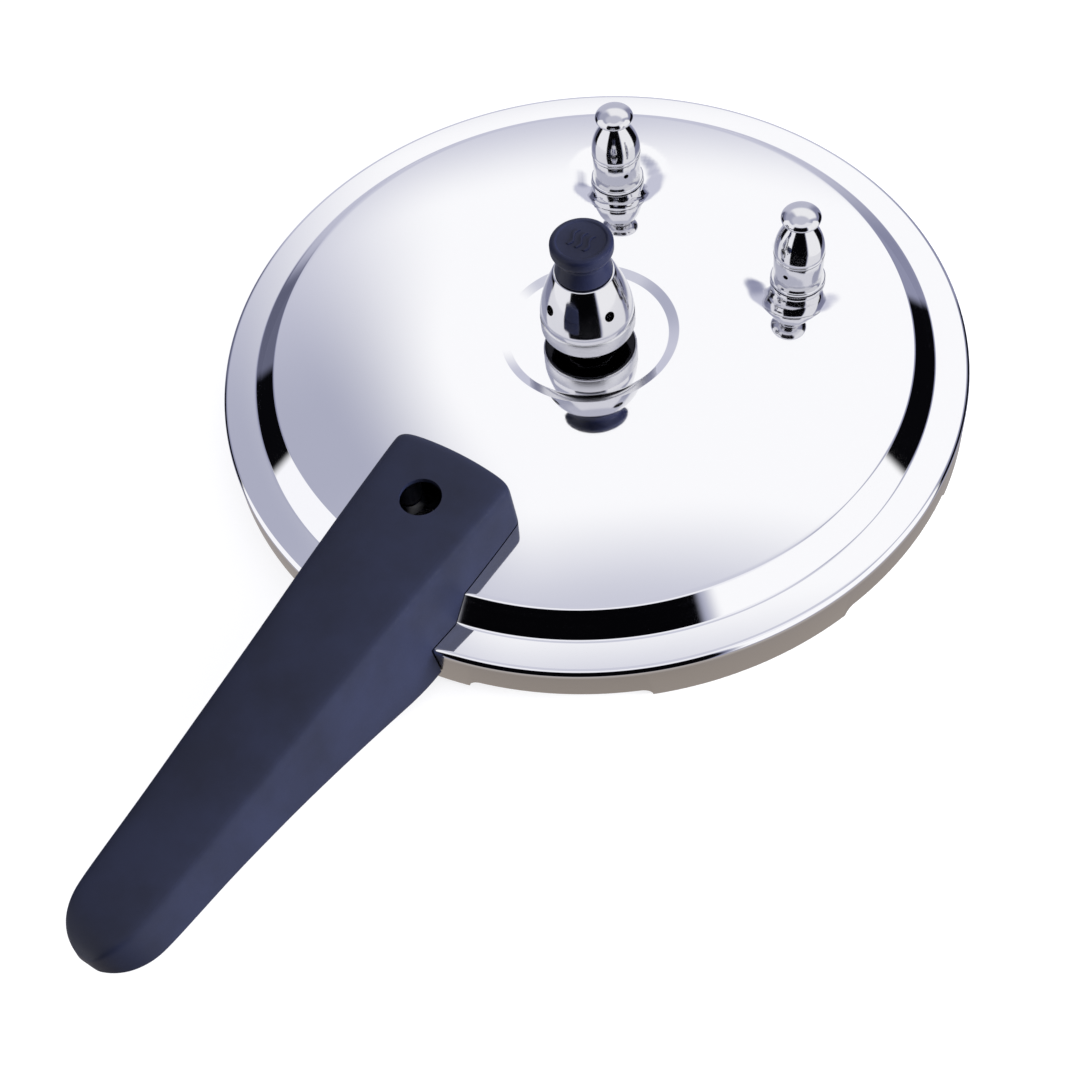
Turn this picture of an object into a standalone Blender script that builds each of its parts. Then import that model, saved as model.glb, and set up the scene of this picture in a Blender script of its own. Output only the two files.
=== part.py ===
"""Lid assembly of a stovetop pressure cooker, in metres, +Z up.

Every height below is measured from the top of the lid's flat rim ring, and every reach from the
lid's own axis. The handle points towards -Y. The empty "lid_axis" carries both into the world, so
that the lid stands on its lugs at z = 0 and the whole lid, handle included, is centred on the origin.
"""

import math

import bmesh
import bpy
import numpy as np
from mathutils import Matrix, Vector

MM = 0.001

# Lid shell
RIM_R = 125.0 * MM
SHEET = 1.6 * MM
RING_W = 11.2 * MM
WALL_RUN = 7.2 * MM
DISC_EDGE_Z = 7.1 * MM
DOME_Z = 10.2 * MM
RECESS_OUTER_R = 30.2 * MM
RECESS_INNER_R = 26.0 * MM
RECESS_DEPTH = 1.4 * MM
SKIRT_H = 12.3 * MM
EDGE_R = 1.8 * MM
LUG_DROP = 4.7 * MM
LUG_DEPTH = 6.5 * MM
LUG_HALF_DEG = 15.1
LUG_CENTRES_DEG = (0.0, 56.4, 112.8, 180.0, 247.2, 303.6)
LID_STEPS = 64

# Fits
GAP = 0.3 * MM
CLEARANCE = 0.4 * MM

# Sealing gasket
GASKET_W = 12.6 * MM
GASKET_H = 6.6 * MM
GASKET_WEB = 2.7 * MM
GASKET_FOOT = 2.5 * MM
LIP_REACH = 2.6 * MM

# Vent tube and what holds it
VENT_SHANK_R = 4.9 * MM
VENT_BASE_R = 8.0 * MM
VENT_BASE_H = 2.4 * MM
NOZZLE_R = 4.0 * MM
NOZZLE_H = 14.5 * MM
VENT_BORE_R = 1.2 * MM
BEAD_R = 4.6 * MM
BEAD_DROP = 4.7 * MM
SEAL_T = 1.5 * MM
VENT_SEAL_R = 11.0 * MM
VENT_NUT_FLATS = 16.0 * MM
VENT_NUT_H = 4.5 * MM
VENT_FLANGE_R = 12.4 * MM
VENT_FLANGE_H = 1.5 * MM
SHANK_STAND = 1.2 * MM
SMALL_EDGE = 0.5 * MM
NOZZLE_EDGE = 1.0 * MM
CAP_WALL = 0.8 * MM
CAP_DEPTH = 12.6 * MM
CAP_SLOT_R = 1.3 * MM
CAP_SIDE_HOLES = 6
CAP_FLOOR_HOLES = 6
CAP_TURN_DEG = 8.0

# Regulator weight
WEIGHT_STAND = 4.95 * MM
WEIGHT_R = 15.6 * MM
WEIGHT_H = 25.75 * MM
BAND_H = 6.6 * MM
CONE_TOP_R = 10.0 * MM
CONE_FULLNESS = 1.6
WEIGHT_EDGE = 0.9 * MM
WEIGHT_BORE_R = 7.5 * MM
WEIGHT_ROOF = 7.5 * MM
WEIGHT_STUD_R = 2.8 * MM
STEAM_HOLE_R = 1.75 * MM
STEAM_HOLE_DROP = 9.9 * MM
STEAM_HOLES = 4
STEAM_TURN_DEG = 67.0
CLIP_T = 1.0 * MM
CLIP_LIP = 0.7 * MM
CLIP_LIP_H = 1.7 * MM
NEEDLE_R = 3.0 * MM
NEEDLE_COLLAR_R = 5.5 * MM
NEEDLE_COLLAR_H = 1.7 * MM
NEEDLE_STUD_H = 3.4 * MM
NEEDLE_DIP = 0.8 * MM
NEEDLE_TIP_R = 0.5 * MM
KNOB_FOOT_R = 9.6 * MM
KNOB_NECK_R = 7.8 * MM
KNOB_R = 10.2 * MM
KNOB_H = 13.6 * MM
KNOB_HEAD_H = 6.6 * MM
KNOB_EDGE_R = 1.4 * MM
KNOB_STUD_H = 3.0 * MM

# Safety valves
VALVE_INSET = 33.1 * MM
VALVE_TURNS_DEG = {"a": 205.1, "b": 140.1}
VALVE_SINK = 1.6 * MM
VALVE_FLAT_R = 11.0 * MM
VALVE_DIMPLE_R = 19.0 * MM
VALVE_BASE_R = 9.2 * MM
VALVE_BASE_H = 1.3 * MM
VALVE_WAIST_R = 7.6 * MM
VALVE_BELLY_R = 8.5 * MM
VALVE_GROOVE_H = 0.8 * MM
VALVE_DRUM_R = 8.4 * MM
VALVE_SEAM_H = 12.2 * MM
VALVE_NECK_H = 26.0 * MM
VALVE_NECK_R = 3.9 * MM
VALVE_CHAMBER_R = 5.8 * MM
VALVE_SHANK_R = 5.0 * MM
VALVE_BORE_R = 1.8 * MM
VALVE_FLOOR_H = 3.4 * MM
VALVE_ROOF_H = 6.1 * MM
VALVE_NUT_FLATS = 15.0 * MM
VALVE_NUT_H = 4.0 * MM
VALVE_SEAL_R = 9.0 * MM
EXHAUST_R = 0.9 * MM
EXHAUST_TURNS_DEG = {"a": -34.0, "b": -92.0}
BALL_R = 6.6 * MM
BALL_FLATNESS = 0.46
BALL_RISE = 2.7 * MM
STEM_R = 2.1 * MM
STEM_COLLAR_R = 4.6 * MM
STEM_COLLAR_H = 1.5 * MM
POPPET_H = 1.6 * MM
POPPET_TIP_R = 1.2 * MM
POPPET_R = 3.2 * MM
WIRE_R = 0.55 * MM
COIL_R = 4.0 * MM
COIL_TURNS = 5

# Float valve under the handle's window
FLOAT_INSET = 14.6 * MM
FLOAT_SINK = 0.3 * MM
FLOAT_FLAT_R = 9.5 * MM
FLOAT_DIMPLE_R = 13.5 * MM
FLOAT_FLANGE_R = 7.0 * MM
FLOAT_FLANGE_H = 2.0 * MM
FLOAT_TUBE_R = 4.6 * MM
FLOAT_BORE_R = 2.6 * MM
FLOAT_NUT_FLATS = 13.0 * MM
FLOAT_NUT_H = 3.0 * MM
FLOAT_SEAL_R = 8.4 * MM
FLOAT_RISE = 4.0 * MM
PIN_R = 2.3 * MM
PIN_BUTTON_R = 4.2 * MM
PIN_BUTTON_H = 2.0 * MM
PIN_FOOT_R = 4.4 * MM
PIN_FOOT_H = 1.6 * MM
PIN_SEAL_T = 1.2 * MM

# Handle grip. Stations run from inner to outer end: (share of the way from the inner end to the rim,
# or 1 + share of the way from the rim to the outer end, then crown height, top half-width,
# bottom height, bottom half-width in millimetres)
GRIP_OVERLAP = 53.0 * MM
GRIP_REACH = 129.0 * MM
GRIP_STATIONS = (
    (0.00, 27.4, 21.6, 2.0, 23.9),
    (0.50, 26.4, 20.2, -6.0, 25.4),
    (1.00, 24.8, 18.8, -14.0, 24.6),
    (1.20, 22.3, 17.2, -8.2, 22.4),
    (1.43, 19.6, 15.8, -3.4, 19.8),
    (1.66, 17.2, 14.2, -0.4, 17.6),
    (1.88, 15.4, 12.9, 0.6, 16.0),
    (2.00, 14.6, 12.2, 1.0, 15.6),
)
GRIP_RIDGE_DROP = 3.0 * MM
GRIP_CORNER_R = 3.8 * MM
GRIP_END_R = 16.0 * MM
GRIP_END_TURNS = (20, 40, 55, 70, 82)
GRIP_BOW = 1.6 * MM
GRIP_BOW_REACH = 30.0 * MM
GRIP_WALL = 4.0 * MM
GRIP_ROOF = 4.5 * MM
GRIP_OPEN = 10.0 * MM
GRIP_DRILL = 20.0 * MM
WINDOW_R = 6.6 * MM
WINDOW_WALL = 2.4 * MM
WINDOW_CLEAR = 6.6 * MM

# Bracket, bottom cover and screws of the handle
BRACKET_T = 2.0 * MM
BRACKET_HALF_W = 13.0 * MM
BRACKET_FOOT_RISE = 1.3 * MM
BRACKET_TOP_Z = 4.0 * MM
BRACKET_L = 53.0 * MM
COVER_GAP = 2.2 * MM
COVER_T = 3.0 * MM
COVER_SINK = 1.0 * MM
SCREW_R = 2.0 * MM
SCREW_HOLE_R = 2.35 * MM
SCREW_HEAD_R = 3.8 * MM
SCREW_HEAD_H = 1.9 * MM
SCREW_POINT = 0.8 * MM
PILLAR_WALL = 2.0 * MM
BOSS_R = 4.6 * MM
LID_SCREW_INSET = 22.6 * MM
LID_SCREW_SIDE = 13.5 * MM
BRACKET_SCREW_INSET = 18.0 * MM
COVER_SCREW_INSET = 28.0 * MM
SCREW_GRIP = 10.0 * MM


def dome_z(reach):
    """Height of the disc's upper face outside the recess."""
    share = (reach - RECESS_OUTER_R) / (DISC_R - RECESS_OUTER_R)
    return DOME_Z - (DOME_Z - DISC_EDGE_Z) * share**2


# Worked out from the sizes above
RING_INNER_R = RIM_R - RING_W
DISC_R = RING_INNER_R - WALL_RUN
LUG_Z = -(SKIRT_H + LUG_DROP)
RECESS_Z = DOME_Z - RECESS_DEPTH
NOZZLE_TOP_Z = RECESS_Z + NOZZLE_H
BEAD_Z = NOZZLE_TOP_Z - BEAD_DROP
WEIGHT_Z = RECESS_Z + WEIGHT_STAND
CONE_TOP_Z = WEIGHT_Z + WEIGHT_H
WEIGHT_ROOF_Z = CONE_TOP_Z - WEIGHT_ROOF
KNOB_Z = CONE_TOP_Z + GAP
VALVE_REACH = DISC_R - VALVE_INSET
VALVE_SEAT_Z = dome_z(VALVE_REACH) - VALVE_SINK
VALVE_SEAM_Z = VALVE_SEAT_Z + VALVE_SEAM_H
VALVE_NECK_Z = VALVE_SEAT_Z + VALVE_NECK_H
BALL_Z = VALVE_NECK_Z + BALL_RISE
FLOAT_REACH = DISC_R - FLOAT_INSET
FLOAT_SEAT_Z = dome_z(FLOAT_REACH) - FLOAT_SINK
GRIP_INNER = RIM_R - GRIP_OVERLAP
GRIP_OUTER = RIM_R + GRIP_REACH
LID_SCREW_REACH = DISC_R - LID_SCREW_INSET
BRACKET_OUTER = RIM_R + BRACKET_L
BRACKET_SCREW_REACH = BRACKET_OUTER - BRACKET_SCREW_INSET
COVER_INNER = RIM_R + GAP + BRACKET_T + COVER_GAP
COVER_SCREW_REACH = GRIP_OUTER - COVER_SCREW_INSET
LID_Y = (GRIP_OUTER - RIM_R) / 2
LID_PLACE = Vector((0.0, LID_Y, -LUG_Z))
STATION_REACHES = np.interp(
    [station[0] for station in GRIP_STATIONS], (0, 1, 2), (GRIP_INNER, RIM_R, GRIP_OUTER)
)
STATION_SIZES = np.array(GRIP_STATIONS) * MM


# Finishes

FINISHES = {
    "polished_steel": ((0.80, 0.80, 0.82), 1.0, 0.08),
    "satin_steel": ((0.62, 0.61, 0.60), 1.0, 0.35),
    "spring_steel": ((0.50, 0.50, 0.52), 1.0, 0.30),
    "bakelite": ((0.022, 0.024, 0.032), 0.0, 0.42),
    "silicone": ((0.62, 0.62, 0.60), 0.0, 0.55),
    "red_silicone": ((0.45, 0.06, 0.04), 0.0, 0.50),
}


def finish(name):
    """The named finish as a Principled material, made once."""
    found = bpy.data.materials.get(name)
    if found:
        return found
    colour, metallic, roughness = FINISHES[name]
    material = bpy.data.materials.new(name)
    material.use_nodes = True
    shader = material.node_tree.nodes["Principled BSDF"]
    shader.inputs["Base Color"].default_value = (*colour, 1.0)
    shader.inputs["Metallic"].default_value = metallic
    shader.inputs["Roughness"].default_value = roughness
    return material


# Making and placing


def clear_scene():
    """Remove what the file opened with."""
    for obj in list(bpy.data.objects):
        bpy.data.objects.remove(obj, do_unlink=True)


def axis_empty(name, place, parent=None):
    """An empty that carries pieces on one axis."""
    empty = bpy.data.objects.new(name, None)
    empty.location = place
    empty.parent = parent
    bpy.context.scene.collection.objects.link(empty)
    return empty


def piece(name, bm, material, parent):
    """The bmesh as a smooth-shaded object of that name under parent."""
    bmesh.ops.remove_doubles(bm, verts=bm.verts[:], dist=1e-7)
    bmesh.ops.recalc_face_normals(bm, faces=bm.faces[:])
    mesh = bpy.data.meshes.new(name)
    bm.to_mesh(mesh)
    bm.free()
    mesh.materials.append(finish(material))
    mesh.shade_smooth()
    mesh.set_sharp_from_angle(angle=math.radians(35))
    obj = bpy.data.objects.new(name, mesh)
    obj.parent = parent
    bpy.context.scene.collection.objects.link(obj)
    return obj


def cut(obj, cutter, operation="DIFFERENCE"):
    """Cut obj with cutter, or join it on, and keep the cutter out of the build."""
    cutter.hide_render = True
    cutter.display_type = "WIRE"
    modifier = obj.modifiers.new(cutter.name, "BOOLEAN")
    modifier.operation = operation
    modifier.solver = "EXACT"
    modifier.object = cutter


def arc(centre, radius, start, end, steps):
    """Points (radius, height) of an arc about centre, from start to end degrees, ends included."""
    turns = np.radians(np.linspace(start, end, steps + 1))
    return [(centre[0] + radius * math.cos(a), centre[1] + radius * math.sin(a)) for a in turns]


def turned(name, outline, material, parent, steps=20):
    """A solid turned about the local Z axis from an outline of (radius, height) points."""
    bm = bmesh.new()
    verts = [bm.verts.new((radius, 0, height)) for radius, height in outline]
    edges = [bm.edges.new(pair) for pair in zip(verts, verts[1:])]
    if outline[0][0] > 0 or outline[-1][0] > 0:
        edges.append(bm.edges.new((verts[-1], verts[0])))
    bmesh.ops.spin(
        bm, geom=verts + edges, cent=(0, 0, 0), axis=(0, 0, 1), angle=math.tau, steps=steps, use_merge=True
    )
    return piece(name, bm, material, parent)


def extruded(name, outline, low, high, material, parent):
    """A prism of an outline of (x, y) points between two heights."""
    bm = bmesh.new()
    face = bm.faces.new([bm.verts.new((x, y, low)) for x, y in outline])
    top = bmesh.ops.extrude_face_region(bm, geom=[face])["geom"]
    bmesh.ops.translate(bm, verts=[v for v in top if isinstance(v, bmesh.types.BMVert)], vec=(0, 0, high - low))
    return piece(name, bm, material, parent)


def rod(name, radius, low, high, material, parent, steps=24, place=(0, 0)):
    """A plain round rod between two heights, its axis at place."""
    x, y = place
    outline = [(x + px, y + py) for px, py in arc((0, 0), radius, 0, 360 - 360 / steps, steps - 1)]
    return extruded(name, outline, low, high, material, parent)


def cross_drill(name, radius, reach, height, turn_deg, parent, steps=12):
    """A drill lying level at height, from the axis outwards to reach."""
    bm = bmesh.new()
    bmesh.ops.create_cone(
        bm, cap_ends=True, segments=steps, radius1=radius, radius2=radius, depth=reach,
        matrix=Matrix.Rotation(math.radians(turn_deg), 4, "Z")
        @ Matrix.Translation((reach / 2, 0, height))
        @ Matrix.Rotation(math.pi / 2, 4, "Y"),
    )
    return piece(name, bm, "satin_steel", parent)


def hexagon(flats):
    """Corners of a hexagon of that width across flats."""
    return arc((0, 0), flats / math.sqrt(3), 0, 300, 5)


def lofted(name, sections, material, parent):
    """A closed solid through sections, each a loop with the same number of points."""
    bm = bmesh.new()
    loops = [[bm.verts.new(point) for point in section] for section in sections]
    count = len(loops[0])
    for near, far in zip(loops, loops[1:]):
        for i in range(count):
            j = (i + 1) % count
            bm.faces.new((near[i], near[j], far[j], far[i]))
    bm.faces.new(loops[0])
    bm.faces.new(loops[-1][::-1])
    return piece(name, bm, material, parent)


def polar(reach, turn_deg):
    """The place at that reach, turned from the handle's direction towards +X."""
    turn = math.radians(turn_deg - 90)
    return Vector((reach * math.cos(turn), reach * math.sin(turn), 0.0))


# Lid


def ease(share):
    """A smooth step from 0 to 1."""
    share = min(max(share, 0.0), 1.0)
    return share * share * (3 - 2 * share)


def lid_face(drop, inset):
    """The lid's upper face from hole to rim ring, lowered by drop, its steep wall moved in by inset."""
    hole = (VENT_SHANK_R + GAP, RECESS_Z - drop)
    bank = [
        (RECESS_INNER_R + (RECESS_OUTER_R - RECESS_INNER_R) * share, RECESS_Z + RECESS_DEPTH * ease(share) - drop)
        for share in (0.0, 0.35, 0.65, 1.0)
    ]
    rings = np.linspace(RECESS_OUTER_R, DISC_R - inset, 10)[1:]
    dome = [(reach, dome_z(reach) - drop) for reach in rings]
    return [hole, *bank, *dome, (RING_INNER_R - inset, -drop)]


def lid_outline():
    """The lid's section: face, rounded edge, skirt, inturned lug flange, and back inside."""
    lug_inner = RIM_R - LUG_DEPTH
    return [
        *lid_face(0.0, 0.0),
        *arc((RIM_R - EDGE_R, -EDGE_R), EDGE_R, 90, 0, 3),
        *arc((RIM_R - EDGE_R, LUG_Z + EDGE_R), EDGE_R, 0, -90, 2),
        (lug_inner, LUG_Z),
        (lug_inner, LUG_Z + SHEET),
        (RIM_R - SHEET, LUG_Z + SHEET),
        (RIM_R - SHEET, -SHEET),
        *reversed(lid_face(SHEET, SHEET / 2)),
    ]


def press_flat(bm, place, height, flat_r, blend_r):
    """Press a level seat into the disc, blended out to blend_r."""
    near = [v for v in bm.verts if (v.co.xy - place.xy).length < blend_r]
    edges = {edge for vert in near for edge in vert.link_edges if edge.calc_length() > 2.0 * MM}
    edges = [edge for edge in edges if all(v.co.z > DISC_EDGE_Z / 2 for v in edge.verts)]
    bmesh.ops.subdivide_edges(bm, edges=edges, cuts=1, use_grid_fill=True)
    for vert in bm.verts:
        away = (vert.co.xy - place.xy).length
        reach = vert.co.xy.length
        if away > blend_r or reach > DISC_R - SHEET or vert.co.z < DISC_EDGE_Z / 2:
            continue
        surface = dome_z(reach)
        below = SHEET if vert.co.z < surface - SHEET / 2 else 0.0
        share = ease((blend_r - away) / (blend_r - flat_r))
        vert.co.z = surface - below + (height - surface) * share


def seats():
    """Each pressed seat: name, place, height, flat radius, blend radius and hole radius."""
    for key, turn in VALVE_TURNS_DEG.items():
        place = polar(VALVE_REACH, turn)
        yield f"valve_{key}", place, VALVE_SEAT_Z, VALVE_FLAT_R, VALVE_DIMPLE_R, VALVE_SHANK_R + GAP
    place = polar(FLOAT_REACH, 0)
    yield "float", place, FLOAT_SEAT_Z, FLOAT_FLAT_R, FLOAT_DIMPLE_R, FLOAT_TUBE_R + GAP


def lid_screw_places():
    """Where the two screws pass up through the lid into the handle."""
    return {
        "left": Vector((-LID_SCREW_SIDE, -LID_SCREW_REACH, 0)),
        "right": Vector((LID_SCREW_SIDE, -LID_SCREW_REACH, 0)),
    }


def lug_gap_cutter(axis):
    """One object with a wedge for each gap between neighbouring lugs."""
    bm = bmesh.new()
    centres = [*LUG_CENTRES_DEG, LUG_CENTRES_DEG[0] + 360]
    inner, outer = RIM_R - 4 * LUG_DEPTH, RIM_R + 2 * LUG_DEPTH
    for here, following in zip(centres, centres[1:]):
        start, end = here + LUG_HALF_DEG, following - LUG_HALF_DEG
        turns = np.linspace(start, end, 5)
        outline = [polar(inner, turn) for turn in turns] + [polar(outer, turn) for turn in turns[::-1]]
        base = [bm.verts.new((p.x, p.y, LUG_Z - LUG_DROP)) for p in outline]
        top = [bm.verts.new((p.x, p.y, -SKIRT_H)) for p in outline]
        bm.faces.new(base[::-1])
        bm.faces.new(top)
        for i in range(len(outline)):
            j = (i + 1) % len(outline)
            bm.faces.new((base[i], base[j], top[j], top[i]))
    return piece("lug_gap_cutter", bm, "satin_steel", axis)


def make_lid(axis):
    """The pressed steel lid with its seats, holes and lugs."""
    lid = turned("lid_shell", lid_outline(), "polished_steel", axis, LID_STEPS)
    bm = bmesh.new()
    bm.from_mesh(lid.data)
    for _, place, height, flat_r, blend_r, _ in seats():
        press_flat(bm, place, height, flat_r, blend_r)
    bm.to_mesh(lid.data)
    bm.free()
    for name, place, _, _, _, hole_r in seats():
        cut(lid, rod(f"{name}_hole_cutter", hole_r, 0, 2 * DOME_Z, "satin_steel", axis, place=place.xy))
    for side, place in lid_screw_places().items():
        cutter = rod(f"{side}_screw_hole_cutter", SCREW_HOLE_R, 0, 2 * DOME_Z, "satin_steel", axis, 16, place.xy)
        cut(lid, cutter)
    cut(lid, lug_gap_cutter(axis))


def make_gasket(axis):
    """The silicone sealing ring, a channel open downwards with an inner lip."""
    top = -SHEET - GAP
    outer = RIM_R - SHEET - GAP
    inner = outer - GASKET_W
    foot = top - GASKET_H
    web = top - GASKET_WEB
    outline = [
        (inner, top),
        (outer, top),
        (outer, foot),
        (outer - GASKET_FOOT, foot),
        (outer - GASKET_FOOT, web),
        (inner + GASKET_FOOT, web),
        (inner - LIP_REACH / 2, foot - LIP_REACH / 4),
        (inner - LIP_REACH, foot + LIP_REACH / 4),
    ]
    turned("sealing_gasket", outline, "silicone", axis, LID_STEPS)


# Vent tube


def make_vent_tube(axis):
    """The vent tube through the middle of the lid, with its seal, nut and strainer cap."""
    under = RECESS_Z - SHEET
    seat = RECESS_Z + GAP
    foot = under - GAP - SEAL_T - GAP - VENT_NUT_H - SHANK_STAND
    outline = [
        (VENT_BORE_R, foot),
        (VENT_SHANK_R, foot),
        (VENT_SHANK_R, seat),
        (VENT_BASE_R, seat),
        (VENT_BASE_R, seat + VENT_BASE_H),
        (NOZZLE_R, seat + VENT_BASE_H + NOZZLE_R / 2),
        (NOZZLE_R, BEAD_Z - (BEAD_R - NOZZLE_R)),
        (BEAD_R, BEAD_Z),
        (NOZZLE_R, BEAD_Z + (BEAD_R - NOZZLE_R)),
        (NOZZLE_R, NOZZLE_TOP_Z - NOZZLE_EDGE),
        (NOZZLE_R - NOZZLE_EDGE, NOZZLE_TOP_Z),
        (VENT_BORE_R + NOZZLE_EDGE, NOZZLE_TOP_Z),
        (VENT_BORE_R, NOZZLE_TOP_Z - NOZZLE_EDGE),
    ]
    turned("vent_tube", outline, "satin_steel", axis, 20)

    seal_top = under - GAP
    bore = VENT_SHANK_R + GAP
    ring = [(bore, seal_top), (VENT_SEAL_R, seal_top), (VENT_SEAL_R, seal_top - SEAL_T), (bore, seal_top - SEAL_T)]
    turned("vent_tube_seal", ring, "silicone", axis)

    nut_top = seal_top - SEAL_T - GAP
    flange_foot = nut_top - VENT_FLANGE_H
    nut = rod("vent_tube_nut", VENT_FLANGE_R, flange_foot, nut_top, "satin_steel", axis, 32)
    body = extruded(
        "vent_nut_body", hexagon(VENT_NUT_FLATS), nut_top - VENT_NUT_H, flange_foot + VENT_FLANGE_H / 2,
        "satin_steel", axis,
    )
    cut(nut, body, "UNION")
    cut(nut, rod("vent_nut_bore_cutter", bore, foot, under, "satin_steel", axis))

    inner = VENT_FLANGE_R + GAP
    floor = seal_top - CAP_DEPTH
    cup = [
        (0.0, floor),
        (inner, floor),
        (inner + CAP_WALL, floor + CAP_WALL),
        (inner + CAP_WALL, seal_top),
        (inner, seal_top),
        (inner, floor + 2 * CAP_WALL),
        (inner - CAP_WALL, floor + CAP_WALL),
        (0.0, floor + CAP_WALL),
    ]
    cap = turned("anti_clog_cap", cup, "satin_steel", axis, 24)
    side_z = floor + CAP_DEPTH / 3
    for i in range(CAP_SIDE_HOLES):
        turn = CAP_TURN_DEG + 360 / CAP_SIDE_HOLES * i
        cut(cap, cross_drill(f"cap_side_cutter_{i}", CAP_SLOT_R, 2 * inner, side_z, turn, axis, 8))
    for i in range(CAP_FLOOR_HOLES):
        place = polar(inner / 2, 360 / CAP_FLOOR_HOLES * i)
        cutter = rod(
            f"cap_floor_cutter_{i}", CAP_SLOT_R, floor - CAP_WALL, floor + 2 * CAP_WALL, "satin_steel", axis, 8,
            place.xy,
        )
        cut(cap, cutter)


# Regulator


def make_regulator(axis):
    """The regulator weight on the vent tube: needle, weight body, retaining clip and knob."""
    tip_z = NOZZLE_TOP_Z - NEEDLE_DIP
    shoulder_z = tip_z + (NEEDLE_R - NEEDLE_TIP_R)
    collar_z = WEIGHT_ROOF_Z - GAP - NEEDLE_COLLAR_H
    stud_r = WEIGHT_STUD_R - GAP
    needle = [
        (0.0, tip_z),
        (NEEDLE_TIP_R, tip_z),
        (NEEDLE_R, shoulder_z),
        (NEEDLE_R, collar_z),
        (NEEDLE_COLLAR_R, collar_z),
        (NEEDLE_COLLAR_R, collar_z + NEEDLE_COLLAR_H),
        (stud_r, collar_z + NEEDLE_COLLAR_H),
        (stud_r, WEIGHT_ROOF_Z + NEEDLE_STUD_H),
        (0.0, WEIGHT_ROOF_Z + NEEDLE_STUD_H),
    ]
    turned("regulator_needle", needle, "satin_steel", axis, 20)

    band_top = WEIGHT_Z + BAND_H
    rise = CONE_TOP_Z - band_top
    taper = [
        (WEIGHT_R - (WEIGHT_R - CONE_TOP_R) * share**CONE_FULLNESS, band_top + rise * share)
        for share in (0.04, 0.25, 0.5, 0.75, 0.97)
    ]
    lip_r = WEIGHT_BORE_R - CLIP_LIP
    lip_z = WEIGHT_Z + CLIP_LIP_H
    body = [
        (lip_r, WEIGHT_Z),
        (WEIGHT_R - WEIGHT_EDGE, WEIGHT_Z),
        (WEIGHT_R, WEIGHT_Z + WEIGHT_EDGE),
        (WEIGHT_R, band_top),
        *taper,
        (CONE_TOP_R - SMALL_EDGE, CONE_TOP_Z),
        (WEIGHT_STUD_R, CONE_TOP_Z),
        (WEIGHT_STUD_R, WEIGHT_ROOF_Z),
        (WEIGHT_BORE_R, WEIGHT_ROOF_Z),
        (WEIGHT_BORE_R, lip_z),
        (lip_r, lip_z),
    ]
    weight = turned("regulator_weight", body, "polished_steel", axis, 28)
    hole_z = CONE_TOP_Z - STEAM_HOLE_DROP
    for i in range(STEAM_HOLES):
        turn = STEAM_TURN_DEG + 360 / STEAM_HOLES * i
        cut(weight, cross_drill(f"steam_hole_cutter_{i}", STEAM_HOLE_R, 2 * WEIGHT_R, hole_z, turn, axis))

    clip_z = lip_z + GAP
    clip_r = WEIGHT_BORE_R - GAP
    inner_r = BEAD_R + CLEARANCE
    clip = [(inner_r, clip_z), (clip_r, clip_z), (clip_r, clip_z + CLIP_T), (inner_r, clip_z + CLIP_T)]
    turned("regulator_clip", clip, "spring_steel", axis)

    top_z = KNOB_Z + KNOB_H
    head_z = top_z - KNOB_HEAD_H
    neck_z = (KNOB_Z + head_z) / 2
    knob = [
        (0.0, KNOB_Z - KNOB_STUD_H),
        (stud_r, KNOB_Z - KNOB_STUD_H),
        (stud_r, KNOB_Z),
        (KNOB_FOOT_R, KNOB_Z),
        (KNOB_NECK_R + SMALL_EDGE, neck_z - KNOB_EDGE_R),
        (KNOB_NECK_R, neck_z + SMALL_EDGE),
        (KNOB_NECK_R + 2 * SMALL_EDGE, head_z),
        *arc((KNOB_R - KNOB_EDGE_R, head_z + 1.5 * KNOB_EDGE_R), KNOB_EDGE_R, -50, 0, 2),
        *arc((KNOB_R - KNOB_EDGE_R, top_z - KNOB_EDGE_R), KNOB_EDGE_R, 15, 90, 3),
        (0.0, top_z),
    ]
    turned("regulator_knob", knob, "bakelite", axis, 24)


# Safety valves


def valve_seat_outline():
    """The lower half of a safety valve: threaded shank, base ring, waist and chamber."""
    seat = VALVE_SEAT_Z + GAP
    base_top = seat + VALVE_BASE_H
    floor = seat + VALVE_FLOOR_H
    top = VALVE_SEAM_Z - GAP / 2
    under = VALVE_SEAT_Z - SHEET
    foot = under - GAP - SEAL_T - GAP - VALVE_NUT_H - SHANK_STAND
    return [
        (VALVE_BORE_R, foot),
        (VALVE_SHANK_R, foot),
        (VALVE_SHANK_R, seat),
        (VALVE_BASE_R, seat),
        (VALVE_BASE_R, base_top - SMALL_EDGE),
        (VALVE_BASE_R - SMALL_EDGE, base_top),
        (VALVE_WAIST_R, base_top),
        (VALVE_WAIST_R, base_top + VALVE_GROOVE_H),
        (VALVE_WAIST_R + SMALL_EDGE, base_top + 2 * VALVE_GROOVE_H),
        (VALVE_DRUM_R, base_top + 5 * VALVE_GROOVE_H),
        (VALVE_DRUM_R, top),
        (VALVE_CHAMBER_R, top),
        (VALVE_CHAMBER_R, floor),
        (VALVE_BORE_R, floor),
    ]


def valve_bonnet_outline():
    """The bell of a safety valve, which the stem passes through."""
    low = VALVE_SEAM_Z + GAP / 2
    high = VALVE_NECK_Z - GAP / 2
    roof = high - VALVE_ROOF_H
    span = high - low
    shape = ((0.06, 1.0), (0.34, 0.985), (0.48, 0.93), (0.61, 0.845), (0.75, 0.735), (0.88, 0.62))
    side = [(VALVE_BELLY_R * width, low + span * share) for share, width in shape]
    bore = STEM_R + GAP
    return [
        (VALVE_CHAMBER_R, low),
        (VALVE_DRUM_R, low),
        *side,
        (VALVE_NECK_R, high),
        (bore, high),
        (bore, roof),
        (VALVE_CHAMBER_R - VALVE_GROOVE_H, roof),
        (VALVE_CHAMBER_R, roof - 2 * VALVE_GROOVE_H),
    ]


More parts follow.
